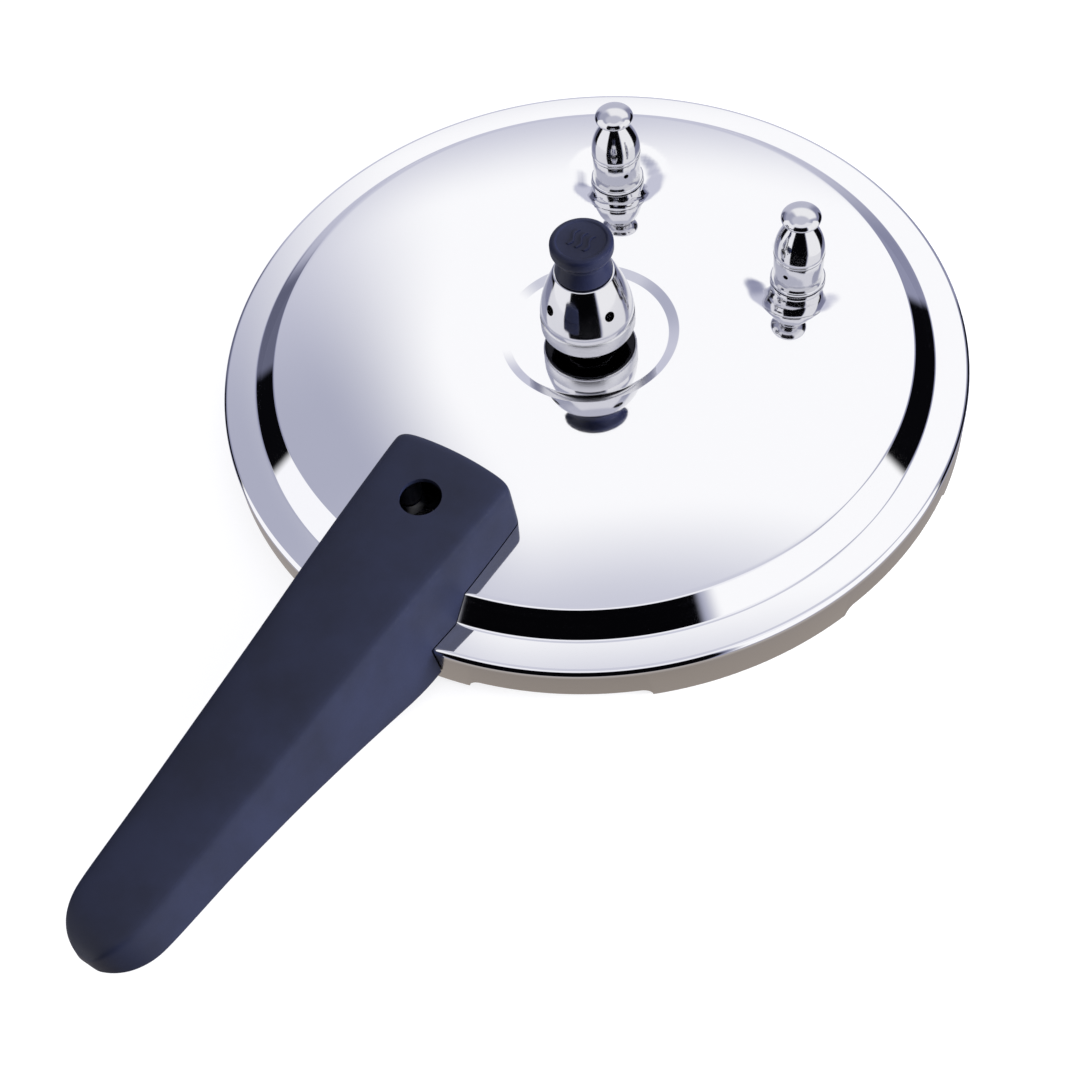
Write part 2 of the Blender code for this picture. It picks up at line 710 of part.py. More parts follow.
def stem_seat_z():
    """Where the poppet's cone starts, above the mouth of the valve's bore."""
    return VALVE_SEAT_Z + GAP + VALVE_FLOOR_H + GAP


def valve_stem_outline():
    """The stem with its poppet cone, spring collar and ball head."""
    tip_z = stem_seat_z()
    collar_z = tip_z + POPPET_H
    head_z = VALVE_NECK_Z + GAP / 2
    head = arc((0.0, 0.0), BALL_R, -56, 84, 8)
    return [
        (0.0, tip_z),
        (POPPET_TIP_R, tip_z),
        (POPPET_R, collar_z),
        (STEM_COLLAR_R, collar_z),
        (STEM_COLLAR_R, collar_z + STEM_COLLAR_H),
        (STEM_R, collar_z + STEM_COLLAR_H),
        (STEM_R, head_z),
        *[(reach, BALL_Z + BALL_FLATNESS * rise) for reach, rise in head],
        (0.0, BALL_Z + BALL_FLATNESS * BALL_R),
    ]


def coil(name, wire_r, coil_r, low, high, turns, material, parent):
    """A helical spring between two heights, wire centres a wire radius inside them."""
    steps = 8 * turns
    curve = bpy.data.curves.new(name, "CURVE")
    curve.dimensions = "3D"
    curve.bevel_depth = wire_r
    curve.bevel_resolution = 1
    curve.use_fill_caps = True
    spline = curve.splines.new("POLY")
    spline.points.add(steps)
    for i, point in enumerate(spline.points):
        turn = math.tau * turns * i / steps
        height = low + wire_r + (high - low - 2 * wire_r) * i / steps
        point.co = (coil_r * math.cos(turn), coil_r * math.sin(turn), height, 1.0)
    curve.materials.append(finish(material))
    obj = bpy.data.objects.new(name, curve)
    obj.parent = parent
    bpy.context.scene.collection.objects.link(obj)
    return obj


def make_valve(key, turn_deg, axis):
    """One safety valve with its seal and nut, on its own axis."""
    stand = axis_empty(f"valve_{key}_axis", polar(VALVE_REACH, turn_deg), axis)
    name = f"safety_valve_{key}"
    seat = turned(f"{name}_seat", valve_seat_outline(), "polished_steel", stand)
    chamber_mid = (VALVE_SEAT_Z + GAP + VALVE_FLOOR_H + VALVE_SEAM_Z) / 2
    for i in range(2):
        turn = EXHAUST_TURNS_DEG[key] + 180 * i
        drill = cross_drill(f"exhaust_{key}_{i}", EXHAUST_R, 2 * VALVE_BASE_R, chamber_mid, turn, stand, 10)
        cut(seat, drill)
    turned(f"{name}_bonnet", valve_bonnet_outline(), "polished_steel", stand)
    turned(f"{name}_stem", valve_stem_outline(), "polished_steel", stand, 20)
    spring_low = stem_seat_z() + POPPET_H + STEM_COLLAR_H + GAP
    spring_high = VALVE_NECK_Z - GAP / 2 - VALVE_ROOF_H - GAP
    coil(f"{name}_spring", WIRE_R, COIL_R, spring_low, spring_high, COIL_TURNS, "spring_steel", stand)
    make_clamp(name, VALVE_SEAT_Z, VALVE_SHANK_R, VALVE_SEAL_R, VALVE_NUT_FLATS, VALVE_NUT_H, stand)


def make_clamp(name, seat_z, shank_r, seal_r, flats, nut_h, parent):
    """The seal and hexagon nut that hold a fitting from under the lid."""
    top = seat_z - SHEET - GAP
    bore = shank_r + GAP
    ring = [(bore, top), (seal_r, top), (seal_r, top - SEAL_T), (bore, top - SEAL_T)]
    turned(f"{name}_seal", ring, "red_silicone", parent)
    nut_top = top - SEAL_T - GAP
    nut = extruded(f"{name}_nut", hexagon(flats), nut_top - nut_h, nut_top, "satin_steel", parent)
    cut(nut, rod(f"{name}_nut_bore_cutter", bore, nut_top - 2 * nut_h, top, "satin_steel", parent))


# Float valve


def make_float(axis):
    """The float valve: a sleeve clamped in the lid and a pin that rises in it."""
    stand = axis_empty("float_axis", polar(FLOAT_REACH, 0), axis)
    seat = FLOAT_SEAT_Z + GAP
    flange_top = seat + FLOAT_FLANGE_H
    foot = FLOAT_SEAT_Z - SHEET - GAP - SEAL_T - GAP - FLOAT_NUT_H - SHANK_STAND
    sleeve = [
        (FLOAT_BORE_R, foot),
        (FLOAT_TUBE_R, foot),
        (FLOAT_TUBE_R, seat),
        (FLOAT_FLANGE_R, seat),
        (FLOAT_FLANGE_R, flange_top - SMALL_EDGE),
        (FLOAT_FLANGE_R - SMALL_EDGE, flange_top),
        (FLOAT_BORE_R, flange_top),
    ]
    turned("float_sleeve", sleeve, "satin_steel", stand)
    make_clamp("float", FLOAT_SEAT_Z, FLOAT_TUBE_R, FLOAT_SEAL_R, FLOAT_NUT_FLATS, FLOAT_NUT_H, stand)

    seal_top = foot - GAP - FLOAT_RISE
    foot_top = seal_top - PIN_SEAL_T - GAP
    button_z = flange_top + GAP
    pin = [
        (0.0, foot_top - PIN_FOOT_H),
        (PIN_FOOT_R, foot_top - PIN_FOOT_H),
        (PIN_FOOT_R, foot_top),
        (PIN_R, foot_top),
        (PIN_R, button_z),
        (PIN_BUTTON_R, button_z),
        (PIN_BUTTON_R, button_z + PIN_BUTTON_H - SMALL_EDGE),
        (PIN_BUTTON_R - SMALL_EDGE, button_z + PIN_BUTTON_H),
        (0.0, button_z + PIN_BUTTON_H),
    ]
    turned("float_pin", pin, "satin_steel", stand, 20)
    inner = PIN_R + GAP
    outer = PIN_FOOT_R - GAP
    ring = [(inner, seal_top), (outer, seal_top), (outer, seal_top - PIN_SEAL_T), (inner, seal_top - PIN_SEAL_T)]
    turned("float_pin_seal", ring, "red_silicone", stand, 20)


# Handle


def at_reach(reach, column):
    """A column of the grip's station table, read at that reach."""
    return float(np.interp(reach, STATION_REACHES, STATION_SIZES[:, column]))


def grip_stations(inset):
    """Reach, narrowing and end share of each section, for a grip moved in by inset all round."""
    inner = GRIP_INNER + inset
    corner = max(GRIP_CORNER_R - inset, 2 * SMALL_EDGE)
    end_r = GRIP_END_R - inset
    straight_end = GRIP_OUTER - GRIP_END_R
    for turn in np.radians((0, 30, 60, 90)):
        yield inner + corner * (1 - math.cos(turn)), corner * (1 - math.sin(turn)), 0.0
    for reach in np.linspace(inner + corner, straight_end, 11)[1:]:
        yield reach, 0.0, 0.0
    tip_share = math.sin(math.radians(GRIP_END_TURNS[-1]))
    for turn in np.radians(GRIP_END_TURNS):
        yield straight_end + end_r * math.sin(turn) / tip_share, 0.0, math.sin(turn)


def grip_section(reach, narrowing, end_share, inset, roof, floor_drop):
    """One cross-section of the grip as points, from the bottom on +X over the crown to -X."""
    roundness = math.sqrt(1 - end_share**2)
    bottom = at_reach(reach, 3)
    crown = bottom + (at_reach(reach, 1) - roof - bottom) * (1 - end_share**3.2) ** (1 / 3.2) - narrowing / 2
    ridge = crown - GRIP_RIDGE_DROP * roundness
    top_half = (at_reach(reach, 2) - inset - narrowing) * roundness
    bottom_half = (at_reach(reach, 4) - inset - narrowing) * roundness
    bottom_half += (bottom_half - top_half) * floor_drop / (ridge - bottom)
    bottom -= floor_drop
    flare = bottom_half - top_half
    half = [
        (bottom_half, bottom),
        (top_half + 0.5 * flare, (bottom + ridge) / 2),
        (top_half + 0.06 * flare, ridge - SMALL_EDGE * roundness),
        (top_half * 0.965, ridge + 0.42 * (crown - ridge)),
        (top_half * 0.86, ridge + 0.75 * (crown - ridge)),
        (top_half * 0.5, ridge + 0.95 * (crown - ridge)),
    ]
    whole = half + [(0.0, crown)] + [(-x, z) for x, z in reversed(half)]
    fade = max(0.0, 1 - (reach - GRIP_INNER) / GRIP_BOW_REACH)
    return [(x, -(reach + GRIP_BOW * fade * (x / bottom_half) ** 2), z) for x, z in whole]


def grip_body(name, inset, roof, floor_drop, material, parent):
    """The grip's outer form, or its hollow when moved in by inset and roof."""
    sections = [
        grip_section(reach, narrowing, end_share, inset, roof, floor_drop)
        for reach, narrowing, end_share in grip_stations(inset)
    ]
    return lofted(name, sections, material, parent)


def hollow_half(reach, height):
    """Half-width of the grip's hollow at that reach and height, along its straight stretch."""
    low = at_reach(reach, 3)
    high = at_reach(reach, 1) - GRIP_ROOF - GRIP_RIDGE_DROP
    wide = at_reach(reach, 4) - GRIP_WALL
    narrow = at_reach(reach, 2) - GRIP_WALL
    return wide + (narrow - wide) * (height - low) / (high - low)


def cover_z(reach):
    """Lower face of the bottom cover at that reach."""
    return at_reach(reach, 3) + COVER_SINK


def roof_z(reach):
    """Underside of the grip's roof at that reach."""
    return at_reach(reach, 1) - GRIP_ROOF


def boss(grip, name, place, low, radius, hole_r, hole_top, axis):
    """Join a round boss to the grip's roof and sink a blind hole in it from below."""
    reach = -place.y
    top = roof_z(reach) + GRIP_ROOF / 2
    cut(grip, rod(f"{name}_boss", radius, low, top, "bakelite", axis, 20, place.xy), "UNION")
    return rod(f"{name}_boss_hole", hole_r, low - GRIP_DRILL, hole_top, "bakelite", axis, 16, place.xy)


def screw(name, place, head_z, top_z, axis):
    """A pan-head screw driven upwards, head underneath, with a cross recess."""
    stand = axis_empty(f"{name}_axis", place, axis)
    outline = [
        (0.0, head_z - SCREW_HEAD_H),
        (SCREW_HEAD_R * 0.75, head_z - SCREW_HEAD_H),
        (SCREW_HEAD_R, head_z - SCREW_HEAD_H * 0.55),
        (SCREW_HEAD_R, head_z),
        (SCREW_R, head_z),
        (SCREW_R, top_z - SCREW_POINT),
        (SCREW_R * 0.6, top_z),
        (0.0, top_z),
    ]
    body = turned(name, outline, "satin_steel", stand, 16)
    slot_w = SCREW_HEAD_R * 0.11
    slot_l = SCREW_HEAD_R * 0.55
    low, high = head_z - 2 * SCREW_HEAD_H, head_z - SCREW_HEAD_H * 0.5
    for i in range(2):
        turn = Matrix.Rotation(math.pi / 2 * i, 2)
        corners = ((-slot_l, -slot_w), (slot_l, -slot_w), (slot_l, slot_w), (-slot_l, slot_w))
        outline = [tuple(turn @ Vector(corner)) for corner in corners]
        cut(body, extruded(f"{name}_slot_{i}", outline, low, high, "satin_steel", stand))


def lid_clearance(axis):
    """A cutter of the lid's outside, grown by the clearance that the handle keeps to it."""
    grow = CLEARANCE
    face = [(reach, height + grow) for reach, height in lid_face(0.0, 0.0)[1:-1]]
    outline = [
        (0.0, 2 * LUG_Z),
        (RIM_R + grow, 2 * LUG_Z),
        (RIM_R + grow, grow),
        (RING_INNER_R + grow / 2, grow),
        *[(reach + (grow / 2 if reach > DISC_R - MM else 0.0), height) for reach, height in reversed(face)],
        (0.0, RECESS_Z + grow),
    ]
    return turned("lid_clearance_cutter", outline, "satin_steel", axis, LID_STEPS)


def make_handle(axis):
    """The grip, its bracket, its bottom cover and the screws."""
    grip = grip_body("handle_grip", 0.0, 0.0, 0.0, "bakelite", axis)
    cut(grip, grip_body("grip_hollow_cutter", GRIP_WALL, GRIP_ROOF, GRIP_OPEN, "bakelite", axis))

    holes = []
    screw_top = dome_z(LID_SCREW_REACH) + SCREW_GRIP
    for side, place in lid_screw_places().items():
        holes.append(boss(grip, f"lid_{side}", place, 0.0, BOSS_R, SCREW_HOLE_R, screw_top + GAP, axis))
        head_z = dome_z(place.length) - SHEET - CLEARANCE
        screw(f"handle_screw_{side}", place, head_z, screw_top, axis)

    bracket_place = Vector((0, -BRACKET_SCREW_REACH, 0))
    boss_low = BRACKET_TOP_Z + GAP
    bracket_top = boss_low + SCREW_GRIP
    holes.append(boss(grip, "bracket", bracket_place, boss_low, BOSS_R, SCREW_HOLE_R, bracket_top + GAP, axis))

    cover_place = Vector((0, -COVER_SCREW_REACH, 0))
    cover_top = cover_z(COVER_SCREW_REACH) + COVER_T
    end_low = cover_top + GAP
    end_top = roof_z(COVER_SCREW_REACH) - MM
    holes.append(boss(grip, "cover", cover_place, end_low, BOSS_R, SCREW_HOLE_R, end_top + GAP, axis))

    window = polar(FLOAT_REACH, 0)
    tube_r = WINDOW_R + WINDOW_WALL
    tube_low = FLOAT_SEAT_Z + WINDOW_CLEAR
    tube_top = roof_z(FLOAT_REACH) + GRIP_ROOF / 2
    cut(grip, rod("window_tube", tube_r, tube_low, tube_top, "bakelite", axis, 32, window.xy), "UNION")
    cut(grip, lid_clearance(axis))
    holes.append(rod("window_cutter", WINDOW_R, DOME_Z / 2, 2 * tube_top, "bakelite", axis, 32, window.xy))
    for cutter in holes:
        cut(grip, cutter)

    make_bracket(axis, bracket_place)
    make_cover(axis, bracket_place, cover_place)
    counterbore = cover_z(BRACKET_SCREW_REACH) + SCREW_HEAD_H + GAP
    screw("handle_screw_bracket", bracket_place, counterbore, bracket_top, axis)
    counterbore = cover_z(COVER_SCREW_REACH) + SCREW_HEAD_H + GAP
    screw("handle_screw_cover", cover_place, counterbore, end_top, axis)


def make_bracket(axis, screw_place):
    """The angle welded to the skirt, whose tongue runs into the grip."""
    inner = RIM_R + GAP
    foot_z = BRACKET_FOOT_RISE - SKIRT_H
    bm = bmesh.new()
    outline = (
        (inner - BRACKET_T, foot_z),
        (inner + BRACKET_T, foot_z),
        (inner + BRACKET_T, BRACKET_TOP_Z - BRACKET_T),
        (BRACKET_OUTER, BRACKET_TOP_Z - BRACKET_T),
        (BRACKET_OUTER, BRACKET_TOP_Z),
        (inner - BRACKET_T, BRACKET_TOP_Z),
    )
    face = bm.faces.new([bm.verts.new((-BRACKET_HALF_W, -reach, z)) for reach, z in outline])
    moved = bmesh.ops.extrude_face_region(bm, geom=[face])["geom"]
    verts = [v for v in moved if isinstance(v, bmesh.types.BMVert)]
    bmesh.ops.translate(bm, verts=verts, vec=(2 * BRACKET_HALF_W, 0, 0))
    bracket = piece("handle_bracket", bm, "satin_steel", axis)
    rim = rod("bracket_rim_cutter", inner, 2 * LUG_Z, 4 * BRACKET_TOP_Z, "satin_steel", axis, LID_STEPS)
    cut(bracket, rim)
    hole = rod("bracket_hole_cutter", SCREW_HOLE_R, 0, 2 * BRACKET_TOP_Z, "satin_steel", axis, 16, screw_place.xy)
    cut(bracket, hole)


def cover_section(reach, narrow):
    """One cross-section of the bottom cover."""
    low = cover_z(reach)
    high = low + COVER_T
    low_half = (hollow_half(reach, low) - CLEARANCE) * narrow
    high_half = (hollow_half(reach, high) - CLEARANCE) * narrow
    return [(x, -reach, z) for x, z in ((low_half, low), (high_half, high), (-high_half, high), (-low_half, low))]


def make_cover(axis, bracket_place, cover_place):
    """The plate that closes the grip from below, with a pillar up to the bracket."""
    straight_end = GRIP_OUTER - GRIP_END_R
    end_r = GRIP_END_R - GRIP_WALL - CLEARANCE
    sections = [cover_section(reach, 1.0) for reach in np.linspace(COVER_INNER, straight_end, 10)]
    for turn in np.radians((25, 50, 70)):
        sections.append(cover_section(straight_end + end_r * math.sin(turn), math.cos(turn)))
    cover = lofted("handle_bottom_cover", sections, "bakelite", axis)

    pillar_top = BRACKET_TOP_Z - BRACKET_T - GAP
    pillar_low = cover_z(BRACKET_SCREW_REACH) + COVER_T / 2
    pillar_r = SCREW_HEAD_R + GAP + PILLAR_WALL
    cut(cover, rod("cover_pillar", pillar_r, pillar_low, pillar_top, "bakelite", axis, 20, bracket_place.xy), "UNION")
    for name, place in (("bracket", bracket_place), ("cover", cover_place)):
        reach = -place.y
        head_top = cover_z(reach) + SCREW_HEAD_H + 2 * GAP
        well = rod(f"{name}_well", SCREW_HEAD_R + GAP, LUG_Z, head_top, "bakelite", axis, 24, place.xy)
        shaft = rod(f"{name}_shaft", SCREW_HOLE_R, LUG_Z, DOME_Z, "bakelite", axis, 16, place.xy)
        cut(cover, well)
        cut(cover, shaft)


def main():
    """Build the whole lid assembly."""
    clear_scene()
    axis = axis_empty("lid_axis", LID_PLACE)
    make_lid(axis)
    make_gasket(axis)
    make_vent_tube(axis)
    make_regulator(axis)
    for key, turn_deg in VALVE_TURNS_DEG.items():
        make_valve(key, turn_deg, axis)
    make_float(axis)
    make_handle(axis)


main()
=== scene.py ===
"""Finished looks of a stovetop pressure cooker's lid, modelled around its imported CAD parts.

Every outline is written in (reach, height): reach is measured from the part's own upright axis and
height from the top of the lid's flat rim ring. A Stand carries both to their place in the frame.
"""

import logging
import math
from collections.abc import Callable, Sequence
from dataclasses import dataclass
from enum import Enum

import bmesh
import bpy
from bpy.types import Material, Node, NodeSocket, NodeTree, Object
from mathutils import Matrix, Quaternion, Vector


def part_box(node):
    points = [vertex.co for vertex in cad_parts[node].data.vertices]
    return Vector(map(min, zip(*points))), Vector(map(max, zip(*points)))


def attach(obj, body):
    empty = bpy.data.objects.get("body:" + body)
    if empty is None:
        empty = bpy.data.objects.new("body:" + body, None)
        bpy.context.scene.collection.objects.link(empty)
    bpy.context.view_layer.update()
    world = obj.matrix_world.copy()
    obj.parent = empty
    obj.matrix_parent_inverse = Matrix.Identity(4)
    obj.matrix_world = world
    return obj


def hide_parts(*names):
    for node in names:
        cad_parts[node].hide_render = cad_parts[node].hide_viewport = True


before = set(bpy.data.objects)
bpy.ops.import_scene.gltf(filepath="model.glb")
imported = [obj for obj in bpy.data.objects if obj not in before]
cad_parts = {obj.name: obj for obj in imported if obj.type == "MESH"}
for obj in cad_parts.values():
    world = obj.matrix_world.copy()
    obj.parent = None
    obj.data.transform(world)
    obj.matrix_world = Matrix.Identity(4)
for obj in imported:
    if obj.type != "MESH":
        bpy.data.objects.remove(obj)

LOG = logging.getLogger("lid")
MM = 0.001
NEAR = 1e-6
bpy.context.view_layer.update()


class Body(Enum):
    """The CAD bodies that pieces ride on."""

    LID = "lid"
    CORE = "regulator_core"
    HEAD = "regulator_head"
    STEM_A = "valve_a_stem"
    STEM_B = "valve_b_stem"
    FLOAT = "float"


class Slot(Enum):
    """The record's material slots."""

    POLISHED = "polished_steel"
    SATIN = "satin_steel"
    SPRING = "spring_steel"
    BAKELITE = "bakelite"
    SILICONE = "silicone"
    RED_SILICONE = "red_silicone"


# Bench: the few hand moves that every piece is made with


def hold(obj: Object) -> None:
    """Leave edit mode and select one object alone.

    Args:
        obj: The object to hold.
    """
    if bpy.context.mode != "OBJECT":
        bpy.ops.object.mode_set(mode="OBJECT")
    bpy.ops.object.select_all(action="DESELECT")
    obj.select_set(True)
    bpy.context.view_layer.objects.active = obj


def edit(obj: Object) -> None:
    """Open one object in edit mode with nothing selected.

    Args:
        obj: The object to open.
    """
    hold(obj)
    bpy.ops.object.mode_set(mode="EDIT")
    bpy.ops.mesh.select_all(action="DESELECT")


def blank(name: str) -> Object:
    """Start an empty mesh at the origin and open it in edit mode.

    Args:
        name: Name of the new piece.

    Returns:
        The new object, with no vertices yet.
    """
    if bpy.context.mode != "OBJECT":
        bpy.ops.object.mode_set(mode="OBJECT")
    bpy.ops.object.select_all(action="DESELECT")
    bpy.ops.mesh.primitive_plane_add(size=MM)
    obj = bpy.context.object
    obj.name = name
    obj.data.name = name
    bpy.ops.object.mode_set(mode="EDIT")
    bpy.ops.mesh.delete(type="VERT")
    return obj


def pick(obj: Object, test: Callable[[Vector], bool]) -> int:
    """Select, in edit mode, the vertices whose place passes a test.

    Args:
        obj: The object open in edit mode.
        test: Says whether a place is wanted.

    Returns:
        How many vertices were selected.
    """
    bpy.ops.mesh.select_all(action="DESELECT")
    bpy.ops.mesh.select_mode(type="VERT")
    bm = bmesh.from_edit_mesh(obj.data)
    for vert in bm.verts:
        vert.select = test(vert.co)
    bm.select_flush_mode()
    bmesh.update_edit_mesh(obj.data)
    return sum(vert.select for vert in bm.verts)


def pick_places(obj: Object, places: Sequence[Vector]) -> None:
    """Select, in edit mode, the vertices at the given places, to a thousandth of a millimetre."""
    wanted = {tuple(round(c, 6) for c in place) for place in places}
    pick(obj, lambda spot: tuple(round(c, 6) for c in spot) in wanted)


def pick_edges(obj: Object, test: Callable[[bmesh.types.BMEdge], bool]) -> int:
    """Select, in edit mode, the edges that pass a test.

    Args:
        obj: The object open in edit mode.
        test: Says whether an edge is wanted.

    Returns:
        How many edges were selected.
    """
    bpy.ops.mesh.select_mode(type="EDGE")
    bpy.ops.mesh.select_all(action="DESELECT")
    bm = bmesh.from_edit_mesh(obj.data)
    for edge in bm.edges:
        edge.select = test(edge)
    bm.select_flush_mode()
    bmesh.update_edit_mesh(obj.data)
    return sum(edge.select for edge in bm.edges)


def draw(obj: Object, points: Sequence[Vector], closed: bool = False) -> None:
    """Draw a line of vertices in edit mode, extruding from each point to the next.

    Args:
        obj: The object open in edit mode.
        points: The places that the line passes, in order.
        closed: Whether the last point is joined back to the first.
    """
    bpy.ops.mesh.select_mode(type="VERT")
    bpy.ops.mesh.select_all(action="DESELECT")
    bpy.ops.mesh.primitive_plane_add(size=MM, location=points[0])
    bpy.ops.mesh.merge(type="CENTER")
    for here, following in zip(points, points[1:]):
        bpy.ops.mesh.extrude_region_move(TRANSFORM_OT_translate={"value": following - here})
    if closed:
        ends = (points[0], points[-1])
        pick(obj, lambda place: any((place - end).length < NEAR for end in ends))
        bpy.ops.mesh.edge_face_add()


def modify(obj: Object, kind: str, **settings: object) -> None:
    """Add a modifier and apply it.

    Args:
        obj: The object to change.
        kind: The modifier's type.
        **settings: The modifier's settings.
    """
    hold(obj)
    modifier = obj.modifiers.new(kind.title(), kind)
    for name, value in settings.items():
        setattr(modifier, name, value)
    bpy.ops.object.modifier_apply(modifier=modifier.name)


def drop(obj: Object) -> None:
    """Remove a tool object, such as a cutter."""
    bpy.data.objects.remove(obj, do_unlink=True)


def cut(obj: Object, tool: Object, how: str = "DIFFERENCE") -> None:
    """Cut, join or intersect a piece with a tool, and put the tool away.

    Args:
        obj: The piece.
        tool: The closed solid that works on it.
        how: The Boolean's operation.
    """
    modify(obj, "BOOLEAN", operation=how, solver="EXACT", object=tool)
    drop(tool)


def apply_place() -> None:
    """Write the selected object's place, turn and size into its mesh."""
    bpy.ops.object.transform_apply(location=True, rotation=True, scale=True)


def merge(pieces: Sequence[Object]) -> Object:
    """Join several objects into the first.

    Args:
        pieces: The objects, which don't touch each other.

    Returns:
        The first object, which now holds them all.
    """
    hold(pieces[0])
    for obj in pieces:
        obj.select_set(True)
    bpy.ops.object.join()
    return pieces[0]


def smooth(obj: Object, angle: float = 30.0) -> None:
    """Shade a piece smooth, and keep edges sharper than the angle, in degrees, crisp."""
    hold(obj)
    bpy.ops.object.shade_smooth_by_angle(angle=math.radians(angle))


def settle(obj: Object, angle: float = 30.0) -> Object:
    """Merge doubles, point the faces outwards and shade the piece smooth up to an angle.

    Args:
        obj: The piece.
        angle: Edges sharper than this, in degrees, stay crisp.

    Returns:
        The piece.
    """
    edit(obj)
    bpy.ops.mesh.select_all(action="SELECT")
    bpy.ops.mesh.remove_doubles(threshold=NEAR)
    bpy.ops.mesh.normals_make_consistent(inside=False)
    hold(obj)
    apply_place()
    smooth(obj, angle)
    return obj


# Places and outlines


@dataclass(frozen=True)
class Stand:
    """An upright axis at (x, y), with the height in the frame that outlines count from."""

    x: float
    y: float
    z: float

    def at(self, reach: float, height: float, turn_deg: float = 0.0) -> Vector:
        """The place at a reach and height, turned from +X about the axis."""
        turn = math.radians(turn_deg)
        return Vector((self.x + reach * math.cos(turn), self.y + reach * math.sin(turn), self.z + height))

    def away(self, place: Vector) -> float:
        """How far a place is from the axis."""
        return math.hypot(place.x - self.x, place.y - self.y)


@dataclass(frozen=True)
class Span:
    """Where a CAD node lies at rest."""

    low: Vector
    high: Vector

    @classmethod
    def of(cls, node: str) -> "Span":
        """The span of the named node."""
        return cls(*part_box(node))

    @property
    def middle(self) -> Vector:
        """The middle of the span."""
        return (self.low + self.high) / 2

    @property
    def reach(self) -> float:
        """Half of the width along X."""
        return (self.high.x - self.low.x) / 2

    @property
    def foot(self) -> float:
        """Height of its lowest place."""
        return self.low.z - AXIS.z

    @property
    def top(self) -> float:
        """Height of its highest place."""
        return self.high.z - AXIS.z


LID = Span.of("lid_shell")
DOME_RISE = 10.2 * MM
AXIS = Stand(LID.middle.x, LID.middle.y, LID.high.z - DOME_RISE)


def stand_of(node: str) -> Stand:
    """The upright axis through a round CAD node."""
    middle = Span.of(node).middle
    return Stand(middle.x, middle.y, AXIS.z)


@dataclass(frozen=True)
class Corner:
    """A corner of an outline, with the radius that rounds it."""

    reach: float
    height: float
    fillet: float = 0.0
    steps: int = 4


def tangent(before: Corner, here: Corner, after: Corner) -> float:
    """How far from a corner its fillet starts.

    Args:
        before: The corner ahead of it on the outline.
        here: The corner that is rounded.
        after: The corner that follows.

    Returns:
        The distance along each side.
    """
    back = Vector((before.reach - here.reach, before.height - here.height))
    on = Vector((after.reach - here.reach, after.height - here.height))
    return here.fillet / math.tan(back.angle(on) / 2)


def section(stand: Stand, corners: Sequence[Corner], closed: bool, obj: Object) -> None:
    """Draw an outline in the plane of +X and +Z and round its corners.

    Args:
        stand: The axis that it belongs to.
        corners: The outline, in order.
        closed: Whether it is joined back to its start.
        obj: The object open in edit mode.
    """
    draw(obj, [stand.at(corner.reach, corner.height) for corner in corners], closed)
    last = len(corners) - 1
    for i, here in enumerate(corners):
        if not here.fillet or (not closed and i in (0, last)):
            continue
        place = stand.at(here.reach, here.height)
        pick(obj, lambda spot: (spot - place).length < NEAR)
        offset = tangent(corners[i - 1], here, corners[(i + 1) % len(corners)])
        bpy.ops.mesh.bevel(offset=offset, segments=here.steps, affect="VERTICES")


def turned(
    name: str, stand: Stand, corners: Sequence[Corner], steps: int = 96, open_line: bool = False
) -> Object:
    """Turn a piece on the lathe: draw its half section and spin it about its axis.

    Args:
        name: Name of the piece.
        stand: The axis.
        corners: The half section, from the axis or the bore round to where it ends.
        steps: How many steps make the full turn.
        open_line: Whether the section stays an open line, as for sheet metal.

    Returns:
        The piece, shaded smooth.
    """
    obj = blank(name)
    on_axis = corners[0].reach < NEAR and corners[-1].reach < NEAR
    section(stand, corners, not (on_axis or open_line), obj)
    bpy.ops.mesh.select_all(action="SELECT")
    bpy.ops.mesh.spin(steps=steps, angle=math.tau, center=stand.at(0.0, 0.0), axis=(0, 0, 1))
    return settle(obj)


def pin(name: str, stand: Stand, reach: float, low: float, high: float, sides: int = 64) -> Object:
    """A plain cylinder between two heights, used as a drill or as bar stock.

    Args:
        name: Name of the object.
        stand: Its axis.
        reach: Its radius.
        low: Height of its foot.
        high: Height of its top.
        sides: How many sides it has.

    Returns:
        The cylinder.
    """
    bpy.ops.object.select_all(action="DESELECT")
    bpy.ops.mesh.primitive_cylinder_add(
        vertices=sides, radius=reach, depth=high - low, location=stand.at(0.0, (low + high) / 2)
    )
    obj = bpy.context.object
    obj.name = name
    apply_place()
    return obj


def cross_drill(stand: Stand, reach: float, far: float, height: float, turn_deg: float) -> Object:
    """A level drill from the axis outwards.

    Args:
        stand: The axis that it starts from.
        reach: The drill's radius.
        far: How far out it goes.
        height: Its height.
        turn_deg: Its direction, from +X.

    Returns:
        The drill.
    """
    bpy.ops.object.select_all(action="DESELECT")
    bpy.ops.mesh.primitive_cylinder_add(
        vertices=32,
        radius=reach,
        depth=far,
        location=stand.at(far / 2, height, turn_deg),
        rotation=(0.0, math.pi / 2, math.radians(turn_deg)),
    )
    apply_place()
    return bpy.context.object


def arc(centre: tuple[float, float], radius: float, start: float, end: float, steps: int) -> list[Corner]:
    """Corners along an arc of an outline.

    Args:
        centre: Its centre, as (reach, height).
        radius: Its radius.
        start: Where it starts, in degrees above level.
        end: Where it ends.
        steps: How many steps it has.

    Returns:
        The corners, both ends included.
    """
    turns = [math.radians(start + (end - start) * i / steps) for i in range(steps + 1)]
    return [Corner(centre[0] + radius * math.cos(t), centre[1] + radius * math.sin(t)) for t in turns]


# Finishes


